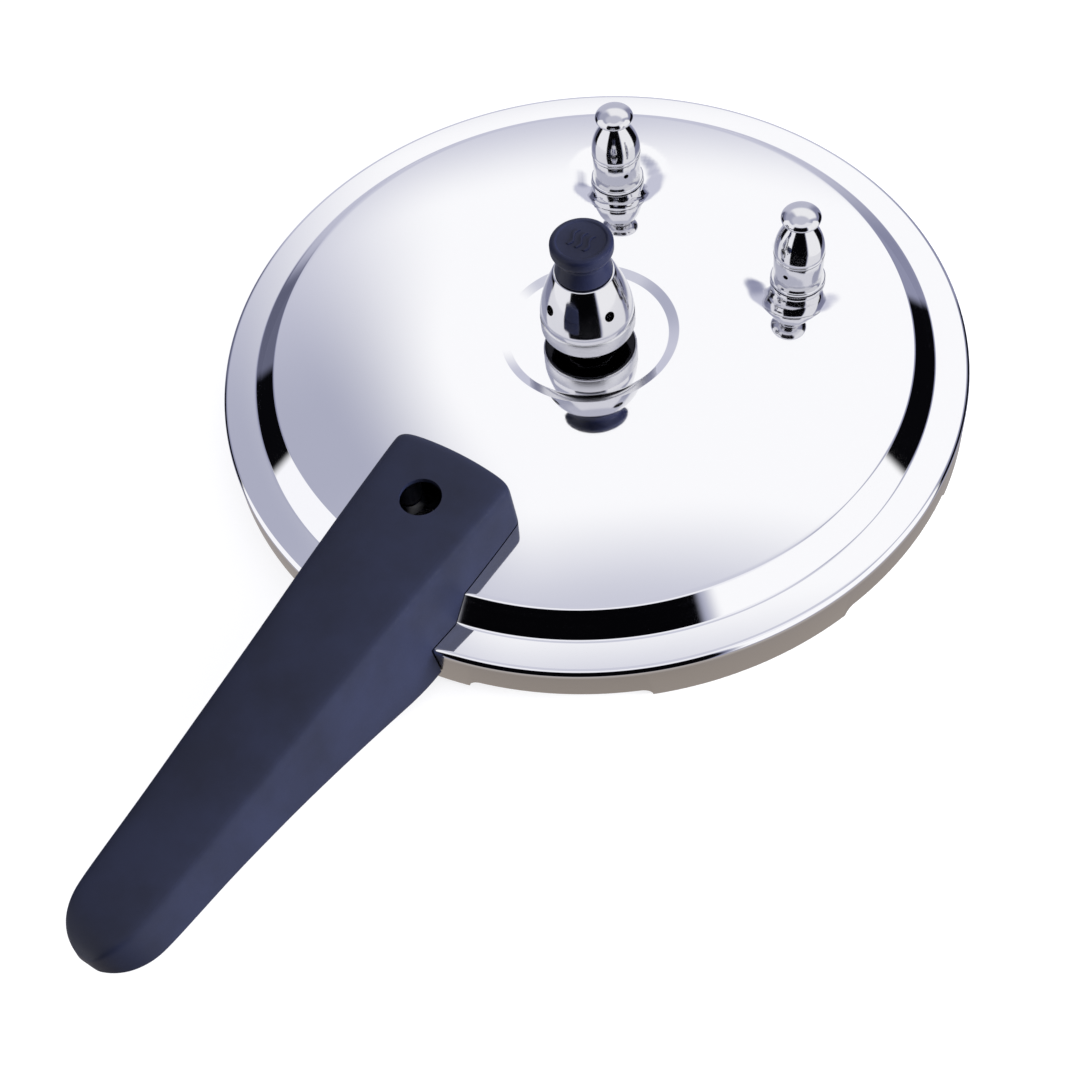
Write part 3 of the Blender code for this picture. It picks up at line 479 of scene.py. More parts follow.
def linear(hex_colour: str) -> tuple[float, float, float, float]:
    """Turn an sRGB hex colour into linear values.

    Args:
        hex_colour: The colour, such as "#8A8C90".

    Returns:
        Red, green, blue and an alpha of 1.
    """
    values = [int(hex_colour[i : i + 2], 16) / 255 for i in (1, 3, 5)]
    red, green, blue = (v / 12.92 if v <= 0.04045 else ((v + 0.055) / 1.055) ** 2.4 for v in values)
    return red, green, blue, 1.0


def connect(tree: NodeTree, node: Node, inputs: dict[str | int, object]) -> None:
    """Link or set the inputs of a node.

    Args:
        tree: The node tree.
        node: The node.
        inputs: A value, or a socket to link, for each input by name or number.
    """
    for key, value in inputs.items():
        if isinstance(value, NodeSocket):
            tree.links.new(value, node.inputs[key])
        else:
            node.inputs[key].default_value = value


def add(
    tree: NodeTree,
    kind: str,
    inputs: dict[str | int, object] | None = None,
    out: str | int = 0,
    **settings: object,
) -> NodeSocket:
    """Add a node, set it and link or set its inputs.

    Args:
        tree: The node tree.
        kind: The node's type, after "ShaderNode".
        inputs: A value, or a socket to link, for each input by name or number.
        out: Which output is wanted, by name or number.
        **settings: The node's own settings.

    Returns:
        The wanted output.
    """
    node = tree.nodes.new(f"ShaderNode{kind}")
    for name, value in settings.items():
        setattr(node, name, value)
    connect(tree, node, inputs or {})
    return node.outputs[out]


def start_material(name: str) -> tuple[Material, NodeTree, Node, NodeSocket]:
    """A new material with a Principled shader on its output.

    Args:
        name: The material's name.

    Returns:
        The material, its tree, its shader and its Object coordinates.
    """
    material = bpy.data.materials.new(name)
    material.use_nodes = True
    tree = material.node_tree
    tree.nodes.clear()
    shader = tree.nodes.new("ShaderNodeBsdfPrincipled")
    connect(tree, tree.nodes.new("ShaderNodeOutputMaterial"), {"Surface": shader.outputs["BSDF"]})
    return material, tree, shader, add(tree, "TexCoord", out="Object")


@dataclass(frozen=True)
class Finish:
    """What every finish has: its name and the record's slot that it stands for."""

    name: str
    slot: Slot

    def made(self) -> Material:
        """The finish as a material, made once."""
        return bpy.data.materials.get(self.name) or self.make()

    def make(self) -> Material:
        """Make the material. Each finish has its own."""
        raise NotImplementedError


@dataclass(frozen=True)
class BuffedSteel(Finish):
    """18/10 stainless steel sheet, pressed and buffed on a wheel to a mirror.

    The eye gets hard bright reflections, a trace of circular buffing that dulls them in rings, and
    a skirt that the wheel hardly reached, which stays a little softer. The skirt's base colour is
    also darker, as painted shade for the darker surroundings that it mirrors.
    """

    stand: Stand
    colour: str = "#EDEDF0"
    # Painted shade: the skirt's darker base colour stands in for the darker surroundings that it mirrors.
    skirt_shade_colour: str = "#C6C1BC"
    mirror: float = 0.03
    haze: float = 0.03
    skirt: float = 0.2
    skirt_from: float = -1.5 * MM
    skirt_full: float = -3.5 * MM
    buff_pitch: float = 1.1 * MM
    press_pitch: float = 38.0 * MM
    press_depth: float = 0.4 * MM

    def make(self) -> Material:
        """Rings of buffing in the roughness, a faint press wave in the surface."""
        material, tree, shader, place = start_material(self.name)
        centre = (-self.stand.x, -self.stand.y, -self.stand.z)
        own = add(tree, "Mapping", {"Vector": place, "Location": centre})
        height = add(tree, "SeparateXYZ", {0: own}, "Z")
        flat = add(tree, "VectorMath", {0: own, 1: (1, 1, 0)}, operation="MULTIPLY")
        reach = add(tree, "VectorMath", {0: flat}, "Value", operation="LENGTH")
        buffing = {"W": reach, "Scale": 1 / self.buff_pitch, "Detail": 3.0, "Roughness": 0.6}
        rings = add(tree, "TexNoise", buffing, noise_dimensions="1D")
        patches = add(tree, "TexNoise", {"Vector": own, "Scale": 1 / self.press_pitch, "Detail": 2.0})
        dulled = add(tree, "Math", {0: rings, 1: patches}, operation="MULTIPLY")
        top = add(tree, "MapRange", {0: dulled, 1: 0.1, 2: 0.5, 3: self.mirror, 4: self.mirror + self.haze})
        drop = {0: height, 1: self.skirt_from, 2: self.skirt_full}
        below = add(tree, "MapRange", drop, interpolation_type="SMOOTHSTEP")
        rough = add(tree, "Mix", {0: below, 2: top, 3: self.skirt})
        wave = add(tree, "Bump", {"Height": patches, "Strength": 0.04, "Distance": self.press_depth})
        # Painted shade: below the rim the base colour fades to the darker skirt colour.
        tones = {0: below, 6: linear(self.colour), 7: linear(self.skirt_shade_colour)}
        tone = add(tree, "Mix", tones, 2, data_type="RGBA")
        connect(tree, shader, {"Base Color": tone, "Roughness": rough, "Normal": wave, "Metallic": 1.0})
        return material


@dataclass(frozen=True)
class TurnedMetal(Finish):
    """Bar stock turned on a lathe, then plated or left bright.

    The eye gets fine level tool marks round the piece, strong on a machined band and almost
    polished away elsewhere. Below the band's foot the base colour can change; the weight uses this
    for painted shade, a near-black underside.
    """

    colour: str = "#DCDCE0"
    # Base colour below band_low; on the weight it is painted shade for the shadowed underside.
    underside_shade_colour: str = "#DCDCE0"
    rough: float = 0.07
    band_rough: float = 0.3
    band_low: float = 0.0
    band_high: float = -1.0
    band_edge: float = 0.15 * MM
    pitch: float = 0.35 * MM
    depth: float = 0.02 * MM
    smear_pitch: float = 6.0 * MM

    def make(self) -> Material:
        """Level tool marks by height, kept to the band where there is one."""
        material, tree, shader, place = start_material(self.name)
        height = add(tree, "SeparateXYZ", {0: place}, "Z")
        tooling = {"W": height, "Scale": 1 / self.pitch, "Detail": 2.0, "Roughness": 0.7}
        marks = add(tree, "TexNoise", tooling, noise_dimensions="1D")
        edge = self.band_edge
        above = add(tree, "MapRange", {0: height, 1: self.band_low - edge, 2: self.band_low + edge})
        under = add(tree, "MapRange", {0: height, 1: self.band_high + edge, 2: self.band_high - edge})
        band = add(tree, "Math", {0: above, 1: under}, operation="MULTIPLY")
        smear = add(tree, "TexNoise", {"Vector": place, "Scale": 1 / self.smear_pitch, "Detail": 3.0})
        base = add(tree, "MapRange", {0: smear, 1: 0.3, 2: 0.7, 3: self.rough, 4: 1.6 * self.rough})
        rough = add(tree, "Mix", {0: band, 2: base, 3: self.band_rough})
        strength = add(tree, "MapRange", {0: band, 3: 0.12, 4: 1.0})
        bump = add(tree, "Bump", {"Height": marks, "Strength": strength, "Distance": self.depth})
        # Below band_low the base colour switches to the underside colour, which on the weight is painted
        # shade.
        tones = {0: above, 6: linear(self.underside_shade_colour), 7: linear(self.colour)}
        tone = add(tree, "Mix", tones, 2, data_type="RGBA")
        connect(tree, shader, {"Base Color": tone, "Roughness": rough, "Normal": bump, "Metallic": 1.0})
        return material


@dataclass(frozen=True)
class SatinMetal(Finish):
    """Stainless or spring steel as it leaves the press, tumbled but not polished.

    The eye gets a soft grey sheen with a fine speckled grain and slightly duller patches.
    """

    colour: str = "#A9A8A6"
    rough: float = 0.3
    grain: float = 0.5 * MM
    relief: float = 0.03 * MM
    blotch_pitch: float = 9.0 * MM

    def make(self) -> Material:
        """Speckled grain in the surface and blotches in the roughness."""
        material, tree, shader, place = start_material(self.name)
        speck = add(tree, "TexNoise", {"Vector": place, "Scale": 1 / self.grain, "Detail": 4.0})
        blotch = add(tree, "TexNoise", {"Vector": place, "Scale": 1 / self.blotch_pitch, "Detail": 3.0})
        rough = add(tree, "MapRange", {0: blotch, 1: 0.3, 2: 0.7, 3: 0.8 * self.rough, 4: 1.25 * self.rough})
        bump = add(tree, "Bump", {"Height": speck, "Strength": 0.25, "Distance": self.relief})
        tone = linear(self.colour)
        connect(tree, shader, {"Base Color": tone, "Roughness": rough, "Normal": bump, "Metallic": 1.0})
        return material


@dataclass(frozen=True)
class Bakelite(Finish):
    """Black phenolic resin with mineral filler, compression moulded in a spark-eroded tool.

    The eye gets a deep blue-black with a dry, even grain, clouds of filler that shift its tone
    slightly, and a low satin sheen whose gloss varies with the grain.
    """

    colour: str = "#171A2A"
    filler: str = "#1C2034"
    rough: float = 0.46
    grit: float = 0.55 * MM
    relief: float = 0.05 * MM
    cloud_pitch: float = 24.0 * MM
    sheen: float = 0.22

    def make(self) -> Material:
        """Clouded colour, spark grain as bump, roughness that follows the grain."""
        material, tree, shader, place = start_material(self.name)
        clouds = {"Vector": place, "Scale": 1 / self.cloud_pitch, "Detail": 5.0, "Roughness": 0.6}
        cloud = add(tree, "TexNoise", clouds)
        # The tool's real grain is near 0.15 mm, too fine to show, so it is drawn over three times as coarse.
        sparks = {"Vector": place, "Scale": 1 / self.grit, "Detail": 5.0, "Roughness": 0.75}
        grain = add(tree, "TexNoise", sparks)
        tone = add(tree, "MapRange", {0: cloud, 1: 0.35, 2: 0.65})
        fleck = add(tree, "MapRange", {0: grain, 1: 0.55, 2: 0.75, 3: 0.0, 4: 0.5})
        mixed = add(tree, "Math", {0: tone, 1: fleck}, operation="ADD", use_clamp=True)
        tones = {0: mixed, 6: linear(self.colour), 7: linear(self.filler)}
        colour = add(tree, "Mix", tones, 2, data_type="RGBA")
        low, high = self.rough - 0.06, self.rough + 0.08
        rough = add(tree, "MapRange", {0: grain, 1: 0.3, 2: 0.7, 3: low, 4: high})
        bump = add(tree, "Bump", {"Height": grain, "Strength": 0.6, "Distance": self.relief})
        looks = {"Base Color": colour, "Roughness": rough, "Normal": bump, "Specular IOR Level": self.sheen}
        connect(tree, shader, looks)
        return material


@dataclass(frozen=True)
class Silicone(Finish):
    """Food-grade silicone rubber, compression moulded.

    The eye gets a soft, slightly translucent body with a dusty matt skin.
    """

    colour: str = "#CFCDC6"
    depth: str = "#B9B6AC"
    rough: float = 0.5
    cloud_pitch: float = 11.0 * MM
    dust_pitch: float = 0.6 * MM
    relief: float = 0.03 * MM
    scatter: float = 2.0 * MM

    def make(self) -> Material:
        """Cloudy colour with a dusty roughness."""
        material, tree, shader, place = start_material(self.name)
        cloud = add(tree, "TexNoise", {"Vector": place, "Scale": 1 / self.cloud_pitch, "Detail": 4.0})
        dust = add(tree, "TexNoise", {"Vector": place, "Scale": 1 / self.dust_pitch, "Detail": 3.0})
        tones = {0: cloud, 6: linear(self.colour), 7: linear(self.depth)}
        colour = add(tree, "Mix", tones, 2, data_type="RGBA")
        rough = add(tree, "MapRange", {0: dust, 3: self.rough - 0.1, 4: self.rough + 0.15})
        bump = add(tree, "Bump", {"Height": dust, "Strength": 0.2, "Distance": self.relief})
        looks = {"Base Color": colour, "Roughness": rough, "Normal": bump}
        connect(tree, shader, looks | {"Subsurface Weight": 0.25, "Subsurface Scale": self.scatter})
        return material


LID_STEEL = BuffedSteel("buffed_stainless_sheet", Slot.POLISHED, AXIS)
CHROME = TurnedMetal("chromed_turned_brass", Slot.POLISHED)
VENT_STEEL = TurnedMetal("turned_stainless", Slot.SATIN, colour="#BDBBB8", rough=0.2)
PRESSED_STEEL = SatinMetal("tumbled_stainless", Slot.SATIN)
SPRING_STEEL = SatinMetal("drawn_spring_wire", Slot.SPRING, colour="#8F8F92", rough=0.24, grain=0.3 * MM)
GRIP_BAKELITE = Bakelite("moulded_bakelite_grip", Slot.BAKELITE)
KNOB_BAKELITE = Bakelite(
    "moulded_bakelite_knob", Slot.BAKELITE, colour="#12152A", filler="#1E2238", rough=0.38
)
PALE_SILICONE = Silicone("pale_silicone", Slot.SILICONE)
RED_SILICONE = Silicone("red_silicone_seal", Slot.RED_SILICONE, colour="#9C2A1E", depth="#84221A")


def publish(obj: Object, body: Body, finish: Finish, *nodes: str) -> None:
    """Dress a finished piece, hang it on its CAD body and let it stand for CAD nodes.

    Args:
        obj: The finished piece.
        body: The body that it rides on.
        finish: Its finish.
        *nodes: The CAD nodes that it replaces.
    """
    obj.data.materials.clear()
    obj.data.materials.append(finish.made())
    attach(obj, body.value)
    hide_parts(*nodes)
    LOG.info("%s: %d faces on %s", obj.name, len(obj.data.polygons), body.value)


def dress_node(node: str, finish: Finish) -> None:
    """Give a CAD node that stays its finish.

    Args:
        node: The CAD node's name.
        finish: Its finish.
    """
    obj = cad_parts[node]
    obj.data.materials.clear()
    obj.data.materials.append(finish.made())
    LOG.info("%s: dressed as %s", node, finish.name)


# Lid


@dataclass
class PressedLid:
    """The lid: one pressed sheet from its vent hole out to the lugs, with its sealing ring."""

    rim: float = LID.reach
    sheet: float = 1.6 * MM
    ring_width: float = 11.2 * MM
    wall_run: float = 7.2 * MM
    disc_edge: float = 7.1 * MM
    recess_outer: float = 30.2 * MM
    recess_inner: float = 26.0 * MM
    recess_depth: float = 1.4 * MM
    crown: float = 0.5 * MM
    dish: float = 0.9 * MM
    dish_run: float = 8.0 * MM
    vent_hole: float = 5.2 * MM
    skirt: float = 12.3 * MM
    lug_depth: float = 6.5 * MM
    lug_half_deg: float = 15.1
    lug_centres_deg: tuple[float, ...] = (0.0, 56.4, 112.8, 180.0, 247.2, 303.6)
    lug_fillet: float = 3.8 * MM
    valve_flat: float = 9.4 * MM
    valve_blends: tuple[float, float] = (8.4 * MM, 12.0 * MM)
    valve_stand: float = 12.35 * MM
    float_stand: float = 2.3 * MM
    float_flat: float = 8.0 * MM
    float_blend: float = 5.0 * MM
    valve_hole: float = 5.3 * MM
    float_hole: float = 4.9 * MM
    screw_hole: float = 2.35 * MM
    steps: int = 320
    ring_step: float = 1.5 * MM

    @property
    def disc(self) -> float:
        """Where the disc ends and the steep wall starts."""
        return self.rim - self.ring_width - self.wall_run

    @property
    def foot(self) -> float:
        """Height of the lugs' underside."""
        return LID.low.z - AXIS.z

    def dome(self, reach: float) -> float:
        """Height of the disc's face outside the recess."""
        out = reach - self.recess_outer
        share = out / (self.disc - self.recess_outer)
        sunk = self.dish * math.exp(-max(out, 0.0) / self.dish_run)
        top = DOME_RISE + self.crown
        return top - sunk - (top - self.disc_edge) * share**2

    def face(self) -> list[Corner]:
        """The upper face from the vent hole to the rim ring."""
        floor = DOME_RISE - self.recess_depth
        count = round((self.disc - self.recess_outer) / self.ring_step)
        rings = [self.recess_outer + (self.disc - self.recess_outer) * i / count for i in range(2, count)]
        return [
            Corner(self.vent_hole, floor),
            Corner(self.recess_inner + 0.4 * MM, floor, 1.6 * MM, 6),
            Corner(self.recess_outer - 0.4 * MM, self.dome(self.recess_outer), 1.6 * MM, 6),
            *[Corner(reach, self.dome(reach)) for reach in rings],
            Corner(self.disc, self.disc_edge, 1.6 * MM, 8),
            Corner(self.rim - self.ring_width, 0.0, 1.5 * MM, 8),
        ]

    def press(self, obj: Object, node: str, flat: float, blend: float, level: float) -> None:
        """Press a level seat round a fitting into the disc.

        Args:
            obj: The lid, still a single face with no thickness.
            node: The fitting's CAD node.
            flat: Radius of the level part.
            blend: How far the press mark fades out beyond it.
            level: Height of the seat.
        """
        stand = stand_of(node)
        centre = stand.at(0.0, level)
        edit(obj)
        pick(obj, lambda place: stand.away(place) < flat and place.z > AXIS.z)
        bpy.ops.transform.resize(
            value=(1, 1, 0),
            center_override=centre,
            use_proportional_edit=True,
            proportional_edit_falloff="SMOOTH",
            proportional_size=blend,
        )

    def gap_cutter(self) -> Object:
        """The blocks that part the skirt between neighbouring lugs, their upper corners rounded."""
        blocks = []
        starts = self.lug_centres_deg
        ends = (*self.lug_centres_deg[1:], self.lug_centres_deg[0] + 360)
        for here, following in zip(starts, ends):
            half = (following - here) / 2 - self.lug_half_deg
            turn = math.radians((here + following) / 2 - 90)
            width = 2 * self.rim * math.sin(math.radians(half))
            inner = self.rim - 3 * self.lug_depth
            outer = self.rim + self.lug_depth
            height = -self.skirt - self.foot + self.lug_depth
            bpy.ops.object.select_all(action="DESELECT")
            bpy.ops.mesh.primitive_cube_add(
                size=1,
                scale=(outer - inner, width, height),
                location=AXIS.at((inner + outer) / 2, -self.skirt - height / 2, math.degrees(turn)),
                rotation=(0, 0, turn),
            )
            block = bpy.context.object
            apply_place()
            top = AXIS.z - self.skirt
            along = Vector((math.cos(turn), math.sin(turn), 0))
            edit(block)
            pick_edges(
                block,
                lambda edge: all(abs(v.co.z - top) < NEAR for v in edge.verts)
                and abs((edge.verts[0].co - edge.verts[1].co).normalized().dot(along)) > 0.9,
            )
            bpy.ops.mesh.bevel(offset=self.lug_fillet, segments=8)
            hold(block)
            blocks.append(block)
        return merge(blocks)

    def build(self) -> None:
        """Press, trim and pierce the lid, and lay in its sealing ring."""
        outline = [
            *self.face(),
            Corner(self.rim, 0.0, 1.8 * MM, 8),
            Corner(self.rim, self.foot, 1.8 * MM, 5),
            Corner(self.rim - self.lug_depth, self.foot),
        ]
        lid = turned("pressed_lid", AXIS, outline, self.steps, open_line=True)
        if lid.data.polygons[0].normal.z < 0:
            edit(lid)
            bpy.ops.mesh.select_all(action="SELECT")
            bpy.ops.mesh.flip_normals()
        for key, blend in zip("ab", self.valve_blends):
            seam = Span.of(f"safety_valve_{key}_bonnet").foot
            self.press(lid, f"safety_valve_{key}_seat", self.valve_flat, blend, seam - self.valve_stand)
        level = Span.of("float_sleeve").top - self.float_stand
        self.press(lid, "float_sleeve", self.float_flat, self.float_blend, level)
        modify(lid, "SOLIDIFY", thickness=self.sheet, offset=-1.0, use_even_offset=True)
        holes = {
            "safety_valve_a_seat": self.valve_hole,
            "safety_valve_b_seat": self.valve_hole,
            "float_sleeve": self.float_hole,
            "handle_screw_left": self.screw_hole,
            "handle_screw_right": self.screw_hole,
        }
        drills = [pin("drill", stand_of(node), hole, 0.0, 2 * DOME_RISE) for node, hole in holes.items()]
        cut(lid, merge([*drills, self.gap_cutter()]))
        smooth(lid, 28)
        publish(lid, Body.LID, LID_STEEL, "lid_shell")
        self.build_ring()

    def build_ring(self) -> None:
        """Turn the silicone sealing ring, a channel open downwards with an inner lip."""
        ring = Span.of("sealing_gasket")
        top = ring.top
        foot = top - 6.6 * MM
        outer = ring.reach
        inner = outer - 12.6 * MM
        wall = 2.5 * MM
        web = top - 2.7 * MM
        lip = 2.6 * MM
        corners = [
            Corner(inner, top, 1.0 * MM),
            Corner(outer, top, 1.2 * MM),
            Corner(outer, foot, 1.0 * MM),
            Corner(outer - wall, foot, 1.0 * MM),
            Corner(outer - wall, web, 0.8 * MM),
            Corner(inner + wall, web, 0.8 * MM),
            Corner(inner - lip / 2, foot - lip / 4, 0.5 * MM),
            Corner(inner - lip, foot + lip / 4, 0.5 * MM),
        ]
        publish(turned("sealing_ring", AXIS, corners, 192), Body.LID, PALE_SILICONE, "sealing_gasket")


# Regulator


@dataclass
class Regulator:
    """The vent tube in the middle of the lid and the weight that rides on it."""

    nozzle: float = 4.0 * MM
    vent_bore: float = 1.2 * MM
    band: float = 6.6 * MM
    cone_top: float = 10.0 * MM
    bore: float = 7.5 * MM
    stud: float = 2.8 * MM
    stud_height: float = 7.5 * MM
    steam_hole: float = 1.75 * MM
    steam_drop: float = 9.9 * MM
    steam_holes: int = 4
    steam_turn_deg: float = 67.0
    fullness: float = 1.6
    knob_neck: float = 7.5 * MM
    knob_head: float = 6.6 * MM
    knob_dish: float = 0.35 * MM

    def build(self) -> None:
        """Build the vent tube, the weight, the knob and the knob's steam marks."""
        self.build_vent()
        self.build_weight()
        self.build_knob()
        self.build_marks()

    def build_vent(self) -> None:
        """Turn the vent tube, whose nozzle the weight's needle closes."""
        span = Span.of("vent_tube")
        stand = stand_of("vent_tube")
        foot = span.foot
        top = span.top
        seat = 9.1 * MM
        base = 2.4 * MM
        bead = top - 4.7 * MM
        shank = 4.9 * MM
        corners = [
            Corner(self.vent_bore, foot, 0.3 * MM),
            Corner(shank, foot, 0.4 * MM),
            Corner(shank, seat),
            Corner(span.reach, seat),
            Corner(span.reach, seat + base, 0.5 * MM),
            Corner(self.nozzle, seat + base + self.nozzle / 2, 0.8 * MM),
            Corner(self.nozzle, bead - 0.6 * MM),
            Corner(self.nozzle + 0.6 * MM, bead, 0.4 * MM),
            Corner(self.nozzle, bead + 0.6 * MM),
            Corner(self.nozzle, top - 1.0 * MM),
            Corner(self.nozzle - 1.0 * MM, top, 0.3 * MM),
            Corner(self.vent_bore + 1.0 * MM, top),
            Corner(self.vent_bore, top - 1.0 * MM),
        ]
        publish(turned("vent_pipe", stand, corners), Body.LID, VENT_STEEL, "vent_tube")

    def build_weight(self) -> None:
        """Turn the weight, a machined band under a polished cone, and drill its steam holes."""
        span = Span.of("regulator_weight")
        stand = stand_of("regulator_weight")
        low = span.foot
        top = span.top
        wide = span.reach
        band_top = low + self.band
        rise = top - band_top
        taper = [
            Corner(wide - (wide - self.cone_top) * (i / 12) ** self.fullness, band_top + rise * i / 12)
            for i in range(1, 12)
        ]
        lip = self.bore - 0.7 * MM
        lip_top = low + 1.7 * MM
        groove = 0.35 * MM
        corners = [
            Corner(lip, low, 0.3 * MM),
            Corner(wide - 0.4 * MM, low, 0.8 * MM),
            Corner(wide - 0.4 * MM, low + 1.1 * MM),
            Corner(wide, low + 1.3 * MM, 0.15 * MM, 2),
            Corner(wide, band_top - 0.4 * MM, 0.15 * MM, 2),
            Corner(wide - groove, band_top - 0.1 * MM),
            Corner(wide - groove, band_top + 0.25 * MM),
            *taper,
            Corner(self.cone_top, top, 0.7 * MM),
            Corner(self.stud, top, 0.2 * MM),
            Corner(self.stud, top - self.stud_height),
            Corner(self.bore, top - self.stud_height, 0.6 * MM),
            Corner(self.bore, lip_top),
            Corner(lip, lip_top, 0.2 * MM),
        ]
        weight = turned("weight_body", stand, corners, 160)
        turns = [self.steam_turn_deg + 360.0 / self.steam_holes * i for i in range(self.steam_holes)]
        holes = [cross_drill(stand, self.steam_hole, 2 * wide, top - self.steam_drop, turn) for turn in turns]
        for hole in holes:
            cut(weight, hole)
        smooth(weight, 30)
        finish = TurnedMetal(
            "chromed_weight",
            Slot.POLISHED,
            # Painted shade: the weight's underside is coloured near-black to stand for the shadowed hollow
            # beneath it.
            underside_shade_colour="#26262A",
            band_low=span.low.z + 0.6 * MM,
            band_high=AXIS.z + band_top,
            band_rough=0.34,
        )
        publish(weight, Body.HEAD, finish, "regulator_weight")

    def build_knob(self) -> None:
        """Turn the weight's moulded knob, with a rounded head whose top is dished."""
        span = Span.of("regulator_knob")
        stand = stand_of("regulator_knob")
        top = span.top
        foot = Span.of("regulator_weight").top + 0.3 * MM
        head = top - self.knob_head
        wide = span.reach
        rim = wide - 1.9 * MM
        corners = [
            Corner(0.0, span.foot),
            Corner(2.5 * MM, span.foot, 0.3 * MM),
            Corner(2.5 * MM, foot),
            Corner(9.6 * MM, foot, 0.5 * MM),
            Corner(self.knob_neck, head - 1.4 * MM, 2.0 * MM, 5),
            Corner(self.knob_neck + 0.9 * MM, head + 0.3 * MM, 1.2 * MM, 5),
            Corner(wide, head + 2.4 * MM, 1.8 * MM, 6),
            Corner(wide, top - 0.1 * MM, 1.5 * MM, 7),
            Corner(rim, top, 0.5 * MM, 3),
            Corner(rim - 0.5 * MM, top - self.knob_dish, 0.4 * MM, 3),
            Corner(0.0, top - self.knob_dish),
        ]
        publish(turned("weight_knob", stand, corners, 128), Body.HEAD, KNOB_BAKELITE, "regulator_knob")

    def build_marks(self) -> None:
        """Raise three wisps of steam on the knob's dished top."""
        stand = stand_of("regulator_knob")
        top = Span.of("regulator_knob").top - self.knob_dish
        length = 7.0 * MM
        width = 0.9 * MM
        raised = 0.3 * MM
        spacing = 2.9 * MM
        swing = 0.7 * MM
        wisps = []
        for side in (-1, 0, 1):
            wisp = blank(f"steam_wisp_{side + 2}")
            places = []
            for i in range(17):
                share = i / 16
                sway = swing * math.sin(math.tau * share)
                offset = Vector((side * spacing + sway, length * (share - 0.5), top - raised))
                places.append(stand.at(0, 0) + offset)
            draw(wisp, places)
            bpy.ops.mesh.select_all(action="SELECT")
            bpy.ops.mesh.extrude_region_move(TRANSFORM_OT_translate={"value": (width, 0, 0)})
            bpy.ops.mesh.select_all(action="SELECT")
            bpy.ops.transform.translate(value=(-width / 2, 0, 0))
            bpy.ops.mesh.extrude_region_move(TRANSFORM_OT_translate={"value": (0, 0, 2 * raised)})
            level = AXIS.z + top + raised
            pick_edges(
                wisp, lambda edge: len(edge.link_faces) == 2
                and all(abs(v.co.z - level) < NEAR for v in edge.verts)
                and edge.calc_face_angle() > 1.0,
            )
            bpy.ops.mesh.bevel(offset=0.16 * MM, segments=2)
            wisps.append(settle(wisp))
        marks = merge(wisps)
        marks.name = "knob_steam_marks"
        marks.data.materials.clear()
        marks.data.materials.append(KNOB_BAKELITE.made())
        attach(marks, Body.HEAD.value)
        LOG.info("knob_steam_marks: %d faces", len(marks.data.polygons))


# Safety valves


